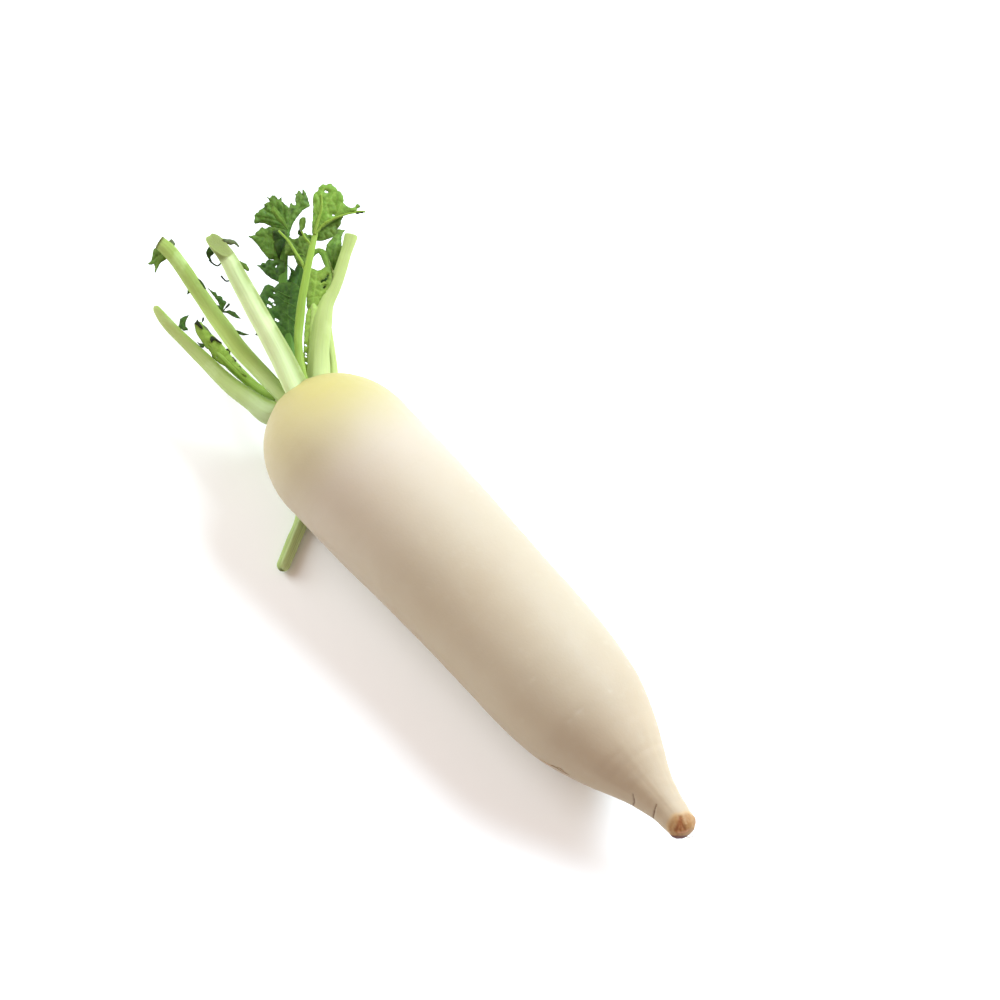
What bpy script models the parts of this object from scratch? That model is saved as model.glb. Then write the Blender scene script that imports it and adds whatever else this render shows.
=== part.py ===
"""A long white turnip with its trimmed leaf stalks, lying on its side.

The root and each leaf are one closed solid. Sizes and tables are in millimetres and
become metres when a mesh is made. The scene has +Z up, the tail points along +X, and
the origin is the middle of the small flat spot that the root lies on.
"""

import math

import bmesh
import bpy
from mathutils import Vector

MM = 0.001

# Root: rounded shoulder, nearly even body, tapering tail
ROOT_LENGTH = 266.0
SHOULDER_LENGTH = 39.0
SHOULDER_RADIUS = 34.3
# Distance from the crown end of the root, radius
ROOT_PROFILE = [
    (39.0, 34.3), (70.0, 34.1), (95.0, 33.4), (136.0, 31.9), (155.0, 31.5),
    (174.0, 30.9), (190.0, 29.3), (203.0, 26.8), (221.0, 20.1), (230.0, 15.8),
    (240.0, 11.1), (250.0, 7.9), (258.0, 6.6), (263.5, 5.6), (265.4, 3.6),
]
# The short neck that carries the leaves: distance before the crown end, radius
NECK_PROFILE = [(6.4, 1.0), (6.0, 2.6), (4.9, 4.2), (3.2, 5.4), (1.2, 6.4), (-0.4, 7.7), (-1.5, 9.6)]
NECK_LEAN = 2.0  # how far sideways the neck's end lies off the root's axis
ROOT_SIDES = 48
SHOULDER_START = 3.2  # the first ring past the neck
SHOULDER_RINGS = 12
BODY_RING_STEP = 9.5
TAIL_START = 250.0
TAIL_STATIONS = (254.0, 258.0, 261.5, 264.0, 265.0)
TAIL_TIP_RADIUS = 1.5

# How the root lies: its axis sinks towards the tail and bows up and sideways a little
AXIS_HEIGHT = 32.4
AXIS_TILT = math.radians(1.9)
AXIS_LIFT = 0.7
AXIS_LIFT_AT = 60.0
AXIS_BOW = 4.0
LEAF_PULL = 5.6  # the leaves draw the balance point this far towards the crown
FLAT_CUT = 20.0  # depth of the block that planes the flat spot

LEAF_GAP = 0.3  # clear space between the root and each leaf
STALK_SIDES = 14
STALK_STEP = 7.0
INNER_SHARE = 0.42  # share of a stalk's depth on the flatter side that faces the axis
GROOVE_DEPTH = 0.10  # as a share of the stalk's depth
GROOVE_WIDTH = 0.22  # as a share of its width
END_STEPS = (0.6, 0.25, 0.0)  # rings over the rounded end, as shares of its length
END_SHRINK_ROUND = 0.70
END_SHRINK_CUT = 0.28
ROUND_END = 1.0  # a round-off longer than this makes a round end
VEIN_SIDES = 6
VEIN_TAPER = 0.35
BLADE_THICKNESS = 0.7
BLADE_HALF_ROWS = 2
BLADE_CUP = 0.3
UPWARD = (-0.25, 0.92, -0.30)  # most blades face up and a little towards the tail

# Leaves, in the crown's frame: outwards along the root's axis, up, and sideways.
# Each path row is: out, up, side, width across, depth towards the axis.
# "back" is the direction that the rounded back of the stalk faces at its foot.
# "round_off" is how far from its end the stalk starts to round off.
# "slant" is how far an oblique cut runs past its middle, on the lower side.
LEAVES = {
    "leaf_low": {
        "path": [
            (-9.0, 2.0, -6.0, 10.4, 9.6), (-0.5, 0.0, -11.0, 11.4, 11.2),
            (9.0, -1.0, -12.5, 10.0, 9.4), (22.0, -2.5, -14.0, 9.0, 8.2),
            (38.5, -3.5, -14.0, 7.8, 7.0), (54.5, -4.5, -14.0, 6.8, 6.0),
            (68.0, -5.0, -13.5, 6.0, 5.4), (76.0, -5.0, -12.5, 3.6, 3.2),
        ],
        "back": (0.0, -0.2, -1.0), "round_off": 2.2, "slant": 0.0,
        "colour": (0.46, 0.56, 0.24),
        "blades": [
            {"points": [(58.5, -4.0, -11.5), (60.5, -2.0, -9.0), (60.0, 0.0, -5.5)],
             "left": (1.6, 2.4, 1.6, 0.3), "right": (1.8, 1.6, 1.0, 0.3), "teeth": 2, "notch": 0.6},
            {"points": [(45.0, -3.5, -12.5), (46.0, -1.5, -10.0)],
             "left": (0.6, 0.8, 0.3), "right": (0.6, 0.7, 0.3), "teeth": 1, "notch": 0.2},
        ],
    },
    "leaf_torn": {
        "path": [
            (3.5, -5.0, -2.5, 4.6, 4.2), (11.5, -6.0, -5.0, 4.6, 4.4),
            (21.0, -6.0, -6.0, 4.8, 4.4), (30.5, -5.0, -6.5, 5.8, 4.6),
            (41.0, -4.5, -6.0, 6.4, 4.4), (49.5, -3.5, -5.5, 5.2, 3.6),
            (55.5, -2.5, -4.5, 3.0, 2.4),
        ],
        "back": (0.0, -1.0, -0.5), "round_off": 1.6, "slant": 1.2,
        "colour": (0.40, 0.52, 0.17),
        "blades": [
            {"points": [(43.5, -3.5, -4.5), (41.0, -2.0, -2.0), (37.0, -2.0, -0.5)],
             "left": (1.2, 1.6, 1.2, 0.3), "right": (1.2, 1.0, 0.8, 0.3), "teeth": 3, "notch": 0.5},
            {"points": [(35.0, -4.5, -8.5), (37.5, -3.5, -10.5)],
             "left": (0.8, 0.8, 0.3), "right": (0.8, 0.8, 0.3), "teeth": 1, "notch": 0.3},
            {"points": [(28.0, -4.0, -4.5), (26.5, -3.5, -2.5)],
             "left": (0.9, 0.9, 0.3), "right": (0.9, 0.9, 0.3), "teeth": 1, "notch": 0.3},
        ],
    },
    "leaf_blunt": {
        "path": [
            (-7.0, 4.5, -2.5, 7.6, 6.4), (3.0, 6.5, -3.0, 7.4, 6.6),
            (19.0, 8.5, -3.0, 7.6, 7.0), (28.5, 10.0, -3.0, 7.8, 7.2),
            (37.5, 11.5, -2.0, 8.0, 7.2), (47.0, 13.0, -1.0, 7.6, 7.0),
            (64.0, 16.5, 1.5, 6.8, 6.6), (80.0, 19.0, 3.5, 6.8, 6.4),
            (88.0, 20.0, 3.0, 6.2, 5.8),
        ],
        "back": (0.0, 0.5, -1.0), "round_off": 0.6, "slant": 0.8,
        "colour": (0.42, 0.60, 0.20),
        "blades": [
            {"points": [(85.0, 19.0, 2.5), (84.5, 16.5, -1.5), (85.0, 14.5, -4.5)],
             "left": (2.2, 2.8, 1.8, 0.4), "right": (1.4, 1.2, 0.8, 0.3), "teeth": 2, "notch": 0.5},
            {"points": [(83.0, 18.5, 2.0), (82.5, 15.5, -3.5), (80.5, 12.5, -6.5)],
             "left": (1.6, 1.2, 0.6, 0.3), "right": (2.4, 2.4, 1.2, 0.3), "teeth": 2, "notch": 0.4},
            {"points": [(83.0, 19.5, 5.0), (82.5, 20.0, 8.5)],
             "left": (1.4, 1.3, 0.6), "right": (1.2, 1.0, 0.5), "teeth": 1, "notch": 0.3},
            {"points": [(45.0, 13.0, 1.5), (48.5, 15.5, 4.0), (52.5, 18.0, 5.0), (56.5, 19.5, 4.0)],
             "left": (0.4, 0.7, 0.6, 0.3), "right": (0.5, 2.2, 1.9, 0.3), "teeth": 4, "notch": 0.7},
            {"points": [(46.5, 13.5, 1.5), (43.0, 12.5, 5.0), (38.5, 11.0, 7.5)],
             "left": (0.5, 0.9, 0.3), "right": (0.5, 0.9, 0.3), "teeth": 1, "notch": 0.0},
            {"points": [(37.5, 12.0, 0.5), (33.5, 11.0, 3.0), (30.5, 10.0, 5.5)],
             "left": (0.5, 0.8, 0.3), "right": (0.5, 0.8, 0.3), "teeth": 1, "notch": 0.0},
        ],
    },
    "leaf_pale": {
        "path": [
            (-9.0, 10.5, 1.0, 11.0, 7.0), (-1.5, 14.0, 3.0, 11.6, 7.6),
            (10.0, 19.0, 6.0, 10.6, 8.2), (20.0, 23.5, 8.0, 9.8, 8.2),
            (30.5, 28.0, 10.0, 9.4, 8.0), (43.5, 34.0, 12.5, 8.4, 7.4),
            (53.5, 38.5, 14.5, 7.6, 6.8), (60.0, 41.0, 15.0, 7.2, 6.4),
        ],
        "back": (0.0, 1.0, 0.2), "round_off": 0.6, "slant": 5.6,
        "colour": (0.66, 0.76, 0.42),
        "blades": [
            {"points": [(58.5, 39.5, 13.0), (60.0, 38.5, 10.0), (59.0, 37.0, 8.0)],
             "left": (1.4, 1.2, 0.7, 0.4), "right": (1.2, 1.2, 0.7, 0.4), "teeth": 2, "notch": 0.3},
            {"points": [(57.0, 39.5, 16.5), (56.5, 40.5, 20.0), (53.0, 39.5, 22.0)],
             "left": (0.9, 1.1, 0.6, 0.3), "right": (0.9, 1.0, 0.6, 0.3), "teeth": 1, "notch": 0.1},
            {"points": [(51.5, 37.5, 15.5), (47.5, 36.5, 18.0), (43.5, 35.0, 19.0)],
             "left": (0.6, 1.0, 0.4), "right": (0.6, 1.0, 0.4), "teeth": 1, "notch": 0.0},
        ],
    },
    "leaf_sprig": {
        "path": [
            (-3.0, 6.0, 8.0, 4.2, 4.0), (2.0, 7.5, 10.5, 4.4, 4.2),
            (8.5, 8.0, 15.0, 4.4, 4.0), (15.5, 9.5, 21.0, 4.4, 4.0),
            (22.0, 10.5, 28.0, 4.4, 4.0), (28.0, 12.0, 35.0, 4.0, 3.6),
            (40.5, 15.0, 51.5, 3.2, 3.0), (45.0, 16.0, 58.0, 2.8, 2.4),
            (48.5, 18.5, 63.5, 1.6, 1.6),
        ],
        "back": (0.0, 0.4, 1.0), "round_off": 0.6, "slant": 0.0,
        "colour": (0.40, 0.60, 0.20),
        "veins": [
            {"points": [(45.0, 16.0, 58.0), (46.5, 18.0, 64.5), (45.0, 19.0, 70.0),
                        (43.0, 19.5, 74.5), (40.0, 19.5, 79.5), (37.5, 19.5, 81.5)], "radius": 0.55},
            {"points": [(36.5, 13.5, 44.5), (44.0, 15.0, 46.0), (51.5, 16.0, 47.5), (58.0, 16.0, 47.5)],
             "radius": 0.50},
            {"points": [(42.5, 15.0, 53.5), (46.5, 18.0, 53.5), (50.5, 21.0, 54.0)], "radius": 0.50},
        ],
        "blades": [
            {"points": [(45.0, 16.0, 58.0), (48.0, 19.0, 63.0), (51.0, 22.0, 68.0), (57.0, 27.0, 75.0)],
             "left": (0.8, 2.3, 3.4, 4.3, 4.2, 2.6, 0.6), "right": (0.6, 1.8, 6.0, 9.8, 9.2, 6.4, 0.8),
             "teeth": 8, "notch": 0.9, "cup": 1.0},
            {"points": [(45.5, 16.0, 59.0), (46.0, 17.5, 64.5), (45.0, 18.5, 70.0), (43.0, 19.0, 74.5)],
             "left": (0.4, 0.5, 0.5, 0.3), "right": (3.6, 6.4, 6.2, 3.8, 0.6), "teeth": 5, "notch": 0.9,
             "cup": -1.2},
            {"points": [(43.0, 19.0, 73.5), (43.5, 20.0, 78.0), (42.0, 20.0, 82.0)],
             "left": (1.8, 1.1, 1.0, 0.6), "right": (0.6, 0.7, 0.6, 0.4), "teeth": 3, "notch": 0.5},
            {"points": [(49.5, 20.0, 54.0), (52.5, 22.0, 56.0), (55.0, 24.0, 58.0)],
             "left": (0.7, 1.7, 1.7, 0.6), "right": (0.7, 1.6, 1.5, 0.5), "teeth": 2, "notch": 0.2,
             "cup": 0.5},
        ],
    },
    "leaf_thick": {
        "path": [
            (-9.0, -2.5, 10.5, 11.0, 10.4), (-1.0, -2.0, 17.5, 11.4, 11.2),
            (6.5, -1.5, 24.5, 10.0, 10.4), (12.0, -1.0, 30.5, 9.0, 9.6),
            (17.5, -0.5, 37.0, 8.6, 9.2), (22.5, 0.0, 44.0, 6.6, 7.2),
            (26.0, 0.5, 52.0, 5.6, 6.0), (30.5, 1.0, 60.0, 5.4, 5.8),
            (35.5, 2.0, 68.5, 5.6, 6.0), (40.0, 3.0, 75.5, 6.2, 6.4),
        ],
        "back": (-0.6, 0.0, 1.0), "round_off": 0.6, "slant": 0.8,
        "colour": (0.58, 0.70, 0.33),
        "veins": [
            {"points": [(30.5, 0.0, 58.0), (33.0, -1.5, 58.0), (35.5, -3.5, 59.0), (40.0, -3.0, 61.0),
                        (44.5, -2.5, 62.5), (47.0, -2.5, 61.0), (48.0, -4.0, 58.5)], "radius": 0.60},
        ],
        "blades": [
            {"points": [(25.0, -1.5, 45.5), (34.5, -4.0, 57.0), (40.5, -4.0, 65.0), (45.5, -3.5, 74.5)],
             "left": (2.2, 2.6, 2.8, 2.6, 0.5), "right": (1.6, 2.2, 2.4, 2.2, 0.5), "teeth": 5,
             "notch": 0.6, "cup": 0.8},
            {"points": [(22.5, 0.0, 41.0), (30.5, 1.0, 46.5), (37.5, 2.5, 51.5)],
             "left": (2.2, 4.4, 4.6, 3.6, 0.8), "right": (1.6, 3.2, 3.4, 3.0, 0.8), "teeth": 4,
             "notch": 0.8, "cup": -1.0},
        ],
    },
    "leaf_narrow": {
        "path": [
            (-12.5, -9.0, 16.5, 4.6, 4.4), (-3.5, -9.0, 24.5, 4.6, 4.4),
            (5.0, -8.5, 31.0, 4.4, 4.2), (20.5, -8.5, 42.0, 4.2, 4.0),
            (27.0, -9.0, 46.0, 3.8, 3.6),
        ],
        "back": (-0.6, -0.3, 1.0), "round_off": 0.8, "slant": 1.0,
        "colour": (0.58, 0.64, 0.34),
        "blades": [],
    },
    "leaf_frond": {
        "path": [
            (-1.0, -2.5, 3.5, 4.6, 4.2), (5.0, -2.5, 8.0, 4.8, 4.4),
            (17.5, -3.0, 17.5, 5.0, 4.2), (28.0, -3.5, 25.0, 4.4, 3.8),
            (38.5, -4.0, 32.5, 4.4, 3.6), (53.5, -5.0, 46.0, 3.6, 3.0),
            (65.5, -5.5, 59.0, 2.4, 2.0), (69.0, -4.0, 62.5, 1.4, 1.2),
        ],
        "back": (0.0, -1.0, 0.2), "round_off": 0.6, "slant": 0.0,
        "colour": (0.13, 0.27, 0.06),
        "blades": [
            {"points": [(65.0, -5.0, 59.0), (72.5, -1.5, 58.0), (79.5, 2.0, 56.5)],
             "left": (0.8, 2.4, 4.9, 7.8, 7.8, 1.8), "right": (0.8, 4.1, 6.6, 7.6, 7.4, 1.8),
             "teeth": 6, "notch": 1.9, "cup": 1.4},
            {"points": [(64.5, -4.5, 58.0), (70.0, 1.5, 58.0), (75.5, 6.5, 57.0)],
             "left": (0.8, 1.8, 1.9, 0.6), "right": (0.8, 1.8, 1.9, 0.6), "teeth": 2, "notch": 0.2,
             "cup": 0.6},
            {"points": [(64.5, -5.5, 58.0), (68.0, -3.5, 65.5), (73.0, -0.5, 76.0)],
             "left": (0.9, 3.0, 4.8, 1.6, 2.9, 0.9), "right": (0.8, 1.4, 3.0, 5.8, 4.6, 1.0),
             "teeth": 5, "notch": 1.1, "cup": -1.0},
            {"points": [(57.5, -5.0, 50.0), (64.5, -3.0, 46.5), (72.0, -1.0, 41.5)],
             "left": (5.2, 5.4, 3.9, 2.2, 0.4), "right": (6.2, 7.2, 6.7, 4.4, 0.5), "teeth": 6,
             "notch": 1.3, "cup": 1.2},
            {"points": [(47.5, -4.5, 40.5), (54.0, -5.0, 38.0), (61.0, -6.5, 35.5)],
             "left": (2.8, 2.6, 2.0, 0.8, 0.4), "right": (5.2, 6.6, 5.4, 2.4, 0.4), "teeth": 5,
             "notch": 1.3, "cup": -0.8},
            {"points": [(34.5, -4.0, 32.0), (41.5, -2.0, 30.5), (47.5, -1.5, 27.5)],
             "left": (5.0, 5.4, 3.8, 0.8), "right": (2.8, 3.6, 2.8, 0.8), "teeth": 4, "notch": 0.9,
             "cup": 0.9},
            {"points": [(38.0, -4.5, 33.0), (42.5, -6.5, 40.0), (47.0, -7.5, 46.5)],
             "left": (2.8, 3.8, 2.2, 0.5), "right": (5.4, 6.4, 4.4, 0.7), "teeth": 4, "notch": 0.9,
             "cup": -0.8},
            {"points": [(17.0, -3.5, 18.0), (26.5, -0.5, 22.0), (36.5, 1.0, 24.5)],
             "left": (3.4, 4.2, 3.4, 0.8), "right": (4.2, 5.4, 4.6, 0.9), "teeth": 6, "notch": 0.9,
             "cup": 1.0},
            {"points": [(42.5, -4.0, 37.0), (47.5, -1.0, 46.5), (51.0, 1.0, 53.0), (55.0, 3.0, 59.0)],
             "left": (1.2, 2.8, 5.2, 4.4, 0.6), "right": (1.2, 2.6, 3.6, 3.2, 0.6), "teeth": 5,
             "notch": 0.8, "cup": 0.9},
        ],
    },
    "leaf_folded": {
        "path": [
            (-1.0, -9.5, 0.5, 6.2, 5.4), (1.0, -15.0, 0.0, 6.6, 5.8),
            (1.0, -21.5, -2.0, 6.8, 5.8), (-3.5, -27.5, -6.5, 6.8, 5.8),
            (-12.0, -31.0, -12.5, 6.8, 5.8), (-24.0, -32.0, -19.0, 6.8, 5.8),
            (-36.5, -32.0, -25.0, 6.6, 5.8), (-43.5, -31.5, -37.0, 6.4, 5.8),
            (-50.5, -31.0, -50.5, 6.0, 5.4),
        ],
        "back": (1.0, 0.0, 0.0), "round_off": 3.0, "slant": 0.0,
        "colour": (0.44, 0.56, 0.24),
        "blades": [],
    },
}


def clear_scene():
    """Remove every object that the file already holds."""
    for thing in list(bpy.data.objects):
        bpy.data.objects.remove(thing, do_unlink=True)


def make_collection(name):
    collection = bpy.data.collections.new(name)
    bpy.context.scene.collection.children.link(collection)
    return collection


def make_material(name, colour, roughness):
    """A plain Principled material of one colour."""
    material = bpy.data.materials.new(name)
    material.use_nodes = True
    shader = material.node_tree.nodes["Principled BSDF"]
    shader.inputs["Base Color"].default_value = (*colour, 1.0)
    shader.inputs["Roughness"].default_value = roughness
    shader.inputs["Metallic"].default_value = 0.0
    return material


def through(knots, values, at):
    """Value at one place on the smooth curve through the knots, as a Vector."""
    rows = [Vector(value) if hasattr(value, "__len__") else Vector((value, 0.0)) for value in values]
    last = len(knots) - 1
    at = min(max(at, knots[0]), knots[-1])
    i = 0
    while i < last - 1 and at > knots[i + 1]:
        i += 1

    def slope(j):
        before, after = max(j - 1, 0), min(j + 1, last)
        return (rows[after] - rows[before]) / (knots[after] - knots[before])

    span = knots[i + 1] - knots[i]
    t = (at - knots[i]) / span
    return (
        rows[i] * (2 * t**3 - 3 * t**2 + 1) + slope(i) * span * (t**3 - 2 * t**2 + t)
        + rows[i + 1] * (3 * t**2 - 2 * t**3) + slope(i + 1) * span * (t**3 - t**2)
    )


def lengths_along(points):
    """Running length at each point of a chain of points."""
    lengths = [0.0]
    for before, after in zip(points, points[1:]):
        lengths.append(lengths[-1] + (after - before).length)
    return lengths


def root_radius(station):
    """Radius of the root at a distance from its crown end."""
    if station < SHOULDER_LENGTH:
        reach = 1.0 - max(station, 0.0) / SHOULDER_LENGTH
        return SHOULDER_RADIUS * math.sqrt(1.0 - reach**2)
    return through([row[0] for row in ROOT_PROFILE], [row[1] for row in ROOT_PROFILE], station)[0]


def bow(station):
    """How far the root's axis swings sideways at a station."""
    share = station / ROOT_LENGTH
    return AXIS_BOW * 4.0 * share * (1.0 - share)


def balance_point():
    """Station and sideways swing of the root's centre of mass."""
    stations = [float(station) for station in range(int(ROOT_LENGTH))]
    weights = [root_radius(station) ** 2 for station in stations]
    total = sum(weights)
    station_mean = sum(s * w for s, w in zip(stations, weights)) / total
    bow_mean = sum(bow(s) * w for s, w in zip(stations, weights)) / total
    return station_mean - LEAF_PULL, bow_mean


BALANCE, BOW_MEAN = balance_point()


def axis_point(station):
    """Point of the root's axis at a distance from its crown end."""
    along = station - BALANCE
    return Vector((
        along * math.cos(AXIS_TILT),
        bow(station) - BOW_MEAN,
        AXIS_HEIGHT - along * math.sin(AXIS_TILT) + AXIS_LIFT * (along / AXIS_LIFT_AT) ** 2,
    ))


def axis_frame(station):
    """Directions along the root, upwards and sideways at a station."""
    along = (axis_point(station + 1.0) - axis_point(station)).normalized()
    sideways = Vector((0.0, 0.0, 1.0)).cross(along).normalized()
    return along, along.cross(sideways), sideways


CROWN = axis_point(0.0)
CROWN_ALONG, CROWN_UP, CROWN_SIDE = axis_frame(0.0)


def crown_direction(row):
    """Turn (out, up, side) into a direction of the scene."""
    return CROWN_UP * row[1] + CROWN_SIDE * row[2] - CROWN_ALONG * row[0]


def crown_point(row):
    """Turn (out, up, side) into a point of the scene."""
    return CROWN + crown_direction(row)


def loft(name, rings, collection, material):
    """Closed solid through rings of equal count, with a flat face at each end."""
    shape = bmesh.new()
    loops = [[shape.verts.new(point * MM) for point in ring] for ring in rings]
    for ring, following in zip(loops, loops[1:]):
        for i in range(len(ring)):
            j = (i + 1) % len(ring)
            shape.faces.new((ring[i], ring[j], following[j], following[i]))
    shape.faces.new(list(reversed(loops[0])))
    shape.faces.new(loops[-1])
    bmesh.ops.recalc_face_normals(shape, faces=shape.faces)
    return finish_mesh(name, shape, collection, material)


def finish_mesh(name, shape, collection, material):
    """Turn a bmesh into a smooth object of a collection."""
    mesh = bpy.data.meshes.new(name)
    shape.to_mesh(mesh)
    shape.free()
    mesh.shade_smooth()
    mesh.set_sharp_from_angle(angle=math.radians(40.0))
    mesh.materials.append(material)
    piece = bpy.data.objects.new(name, mesh)
    collection.objects.link(piece)
    return piece


def applied(piece):
    """Replace an object's mesh by what its modifiers make of it."""
    bpy.context.view_layer.update()
    graph = bpy.context.evaluated_depsgraph_get()
    mesh = bpy.data.meshes.new_from_object(piece.evaluated_get(graph))
    piece.modifiers.clear()
    piece.data = mesh


def root_rings(extra):
    """Rings of the root from its neck to its tail, grown by an extra radius."""
    rings = []

    def add(station, radius, lean=0.0):
        _, upwards, sideways = axis_frame(station)
        centre = axis_point(station) + sideways * lean
        ring = []
        for i in range(ROOT_SIDES):
            turn = 2.0 * math.pi * i / ROOT_SIDES
            ring.append(centre + (upwards * math.cos(turn) + sideways * math.sin(turn)) * (radius + extra))
        rings.append(ring)

    neck_length = NECK_PROFILE[0][0]
    for before, radius in NECK_PROFILE:
        reach = max(before, 0.0) / neck_length
        add(-before - extra * reach, radius, NECK_LEAN * reach)
    first_turn = math.acos(1.0 - SHOULDER_START / SHOULDER_LENGTH)
    for i in range(SHOULDER_RINGS):
        turn = first_turn + (math.pi / 2 - first_turn) * i / SHOULDER_RINGS
        station = SHOULDER_LENGTH * (1.0 - math.cos(turn))
        add(station, root_radius(station))
    count = round((TAIL_START - SHOULDER_LENGTH) / BODY_RING_STEP)
    for i in range(count + 1):
        station = SHOULDER_LENGTH + (TAIL_START - SHOULDER_LENGTH) * i / count
        add(station, root_radius(station))
    for station in TAIL_STATIONS:
        add(station, root_radius(station))
    add(ROOT_LENGTH, TAIL_TIP_RADIUS)
    return rings


def make_root(collection, cutters):
    """The root, planed flat where it rests."""
    skin = make_material("root_skin", (0.86, 0.77, 0.64), 0.5)
    root = loft("root", root_rings(0.0), collection, skin)
    bpy.ops.mesh.primitive_cube_add(size=1.0)
    block = bpy.context.object
    block.name = "flat_spot_cutter"
    block.dimensions = (2.0 * ROOT_LENGTH * MM, 4.0 * SHOULDER_RADIUS * MM, FLAT_CUT * MM)
    block.location = (0.0, 0.0, -FLAT_CUT * MM / 2)
    for holder in list(block.users_collection):
        holder.objects.unlink(block)
    cutters.objects.link(block)
    block.hide_render = True
    block.display_type = "WIRE"
    planing = root.modifiers.new("flat spot", "BOOLEAN")
    planing.operation = "DIFFERENCE"
    planing.object = block
    return root


def transported_frames(points, back):
    """Direction, back and across vectors at each point, turning as little as possible."""
    frames = []
    for i in range(len(points)):
        along = (points[min(i + 1, len(points) - 1)] - points[max(i - 1, 0)]).normalized()
        back = (back - along * back.dot(along)).normalized()
        frames.append((along, back, along.cross(back)))
    return frames


def stalk_section(turn, width, depth):
    """One point of a stalk's D-shaped section: across, towards the back."""
    across = 0.5 * width * math.cos(turn)
    towards = math.sin(turn)
    if towards > 0.0:
        return across, depth * (1.0 - INNER_SHARE) * towards - depth * (0.5 - INNER_SHARE)
    groove = GROOVE_DEPTH * depth * math.exp(-((across / (GROOVE_WIDTH * width)) ** 2))
    return across, depth * INNER_SHARE * towards + groove - depth * (0.5 - INNER_SHARE)


def make_stalk(name, leaf, collection, material):
    """A leaf's stalk, lofted along its path."""
    places = [crown_point(row[:3]) for row in leaf["path"]]
    knots = lengths_along(places)
    rows = [(*place, row[3], row[4]) for place, row in zip(places, leaf["path"])]
    length = knots[-1]
    ease = leaf["round_off"]
    count = max(round((length - ease) / STALK_STEP), 4)
    stations = [(length - ease) * i / count for i in range(count + 1)]
    stations += [length - ease * share for share in END_STEPS]
    samples = [through(knots, rows, station) for station in stations]
    centres = [sample.to_3d() for sample in samples]
    frames = transported_frames(centres, crown_direction(leaf["back"]))
    shrink = END_SHRINK_ROUND if ease > ROUND_END else END_SHRINK_CUT
    slant_reach = 4.0 * leaf["slant"] + ease
    rings = []
    for station, sample, centre, (along, back, across) in zip(stations, samples, centres, frames):
        inside = 1.0 - min((length - station) / ease, 1.0)
        scale = math.sqrt(1.0 - shrink * inside**2)
        near_end = max(0.0, 1.0 - (length - station) / slant_reach)
        ring = []
        for i in range(STALK_SIDES):
            turn = 2.0 * math.pi * i / STALK_SIDES
            x, y = stalk_section(turn, sample[3] * scale, sample[4] * scale)
            shear = -leaf["slant"] * near_end * y / (0.5 * sample[4])
            ring.append(centre + across * x + back * y + along * shear)
        rings.append(ring)
    return loft(name, rings, collection, material)


def make_vein(name, vein, collection, material):
    """A slender side stalk, lofted along its points."""
    places = [crown_point(row) for row in vein["points"]]
    knots = lengths_along(places)
    count = 2 * (len(places) - 1)
    centres = [through(knots, places, knots[-1] * i / count) for i in range(count + 1)]
    rings = []
    frames = transported_frames(centres, crown_direction(UPWARD))
    for i, (centre, (_, back, across)) in enumerate(zip(centres, frames)):
        radius = vein["radius"] * (1.0 + VEIN_TAPER * (0.5 - i / count))
        rings.append([
            centre + (across * math.cos(turn) + back * math.sin(turn)) * radius
            for turn in (2.0 * math.pi * k / VEIN_SIDES for k in range(VEIN_SIDES))
        ])
    return loft(name, rings, collection, material)


def half_width(widths, share, notch):
    """Half width of a blade at a share of its length, less the notch there."""
    knots = [i / (len(widths) - 1) for i in range(len(widths))]
    return max(through(knots, widths, share)[0] - notch, 0.3)


def make_blade(name, blade, collection, material):
    """A toothed leaf blade: an arched sheet given its thickness."""
    places = [crown_point(row) for row in blade["points"]]
    knots = lengths_along(places)
    count = max(2 * blade["teeth"], 4)
    shares = [i / count for i in range(count + 1)]
    tooth_push = 0.5 * knots[-1] / count
    centres = [through(knots, places, knots[-1] * share) for share in shares]
    facing = crown_direction(blade.get("facing", UPWARD))
    shape = bmesh.new()
    rows = []
    for i, (centre, (along, face, _)) in enumerate(zip(centres, transported_frames(centres, facing))):
        across = along.cross(face)
        between_teeth = i % 2 == 0 and 0 < i < count
        row = []
        for j in range(-BLADE_HALF_ROWS, BLADE_HALF_ROWS + 1):
            part = j / BLADE_HALF_ROWS
            at_edge = abs(part) == 1.0
            uneven = 0.75 + 0.5 * math.sin(2.3 * i + 1.7 * j) ** 2
            notch = blade["notch"] * uneven if between_teeth and at_edge else 0.0
            push = tooth_push if i % 2 == 1 and at_edge else 0.0
            reach = half_width(blade["right"] if part > 0 else blade["left"], shares[i], notch)
            rise = blade.get("cup", BLADE_CUP) * part**2 * math.sin(math.pi * min(1.0, 0.2 + shares[i]))
            place = centre + across * part * reach + face * rise + along * push
            row.append(shape.verts.new(place * MM))
        rows.append(row)
    for row, following in zip(rows, rows[1:]):
        for j in range(2 * BLADE_HALF_ROWS):
            shape.faces.new((row[j], row[j + 1], following[j + 1]))
            shape.faces.new((row[j], following[j + 1], following[j]))
    sheet = finish_mesh(name, shape, collection, material)
    thickness = sheet.modifiers.new("thickness", "SOLIDIFY")
    thickness.thickness = BLADE_THICKNESS * MM
    thickness.offset = 0.0
    applied(sheet)
    return sheet


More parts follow.
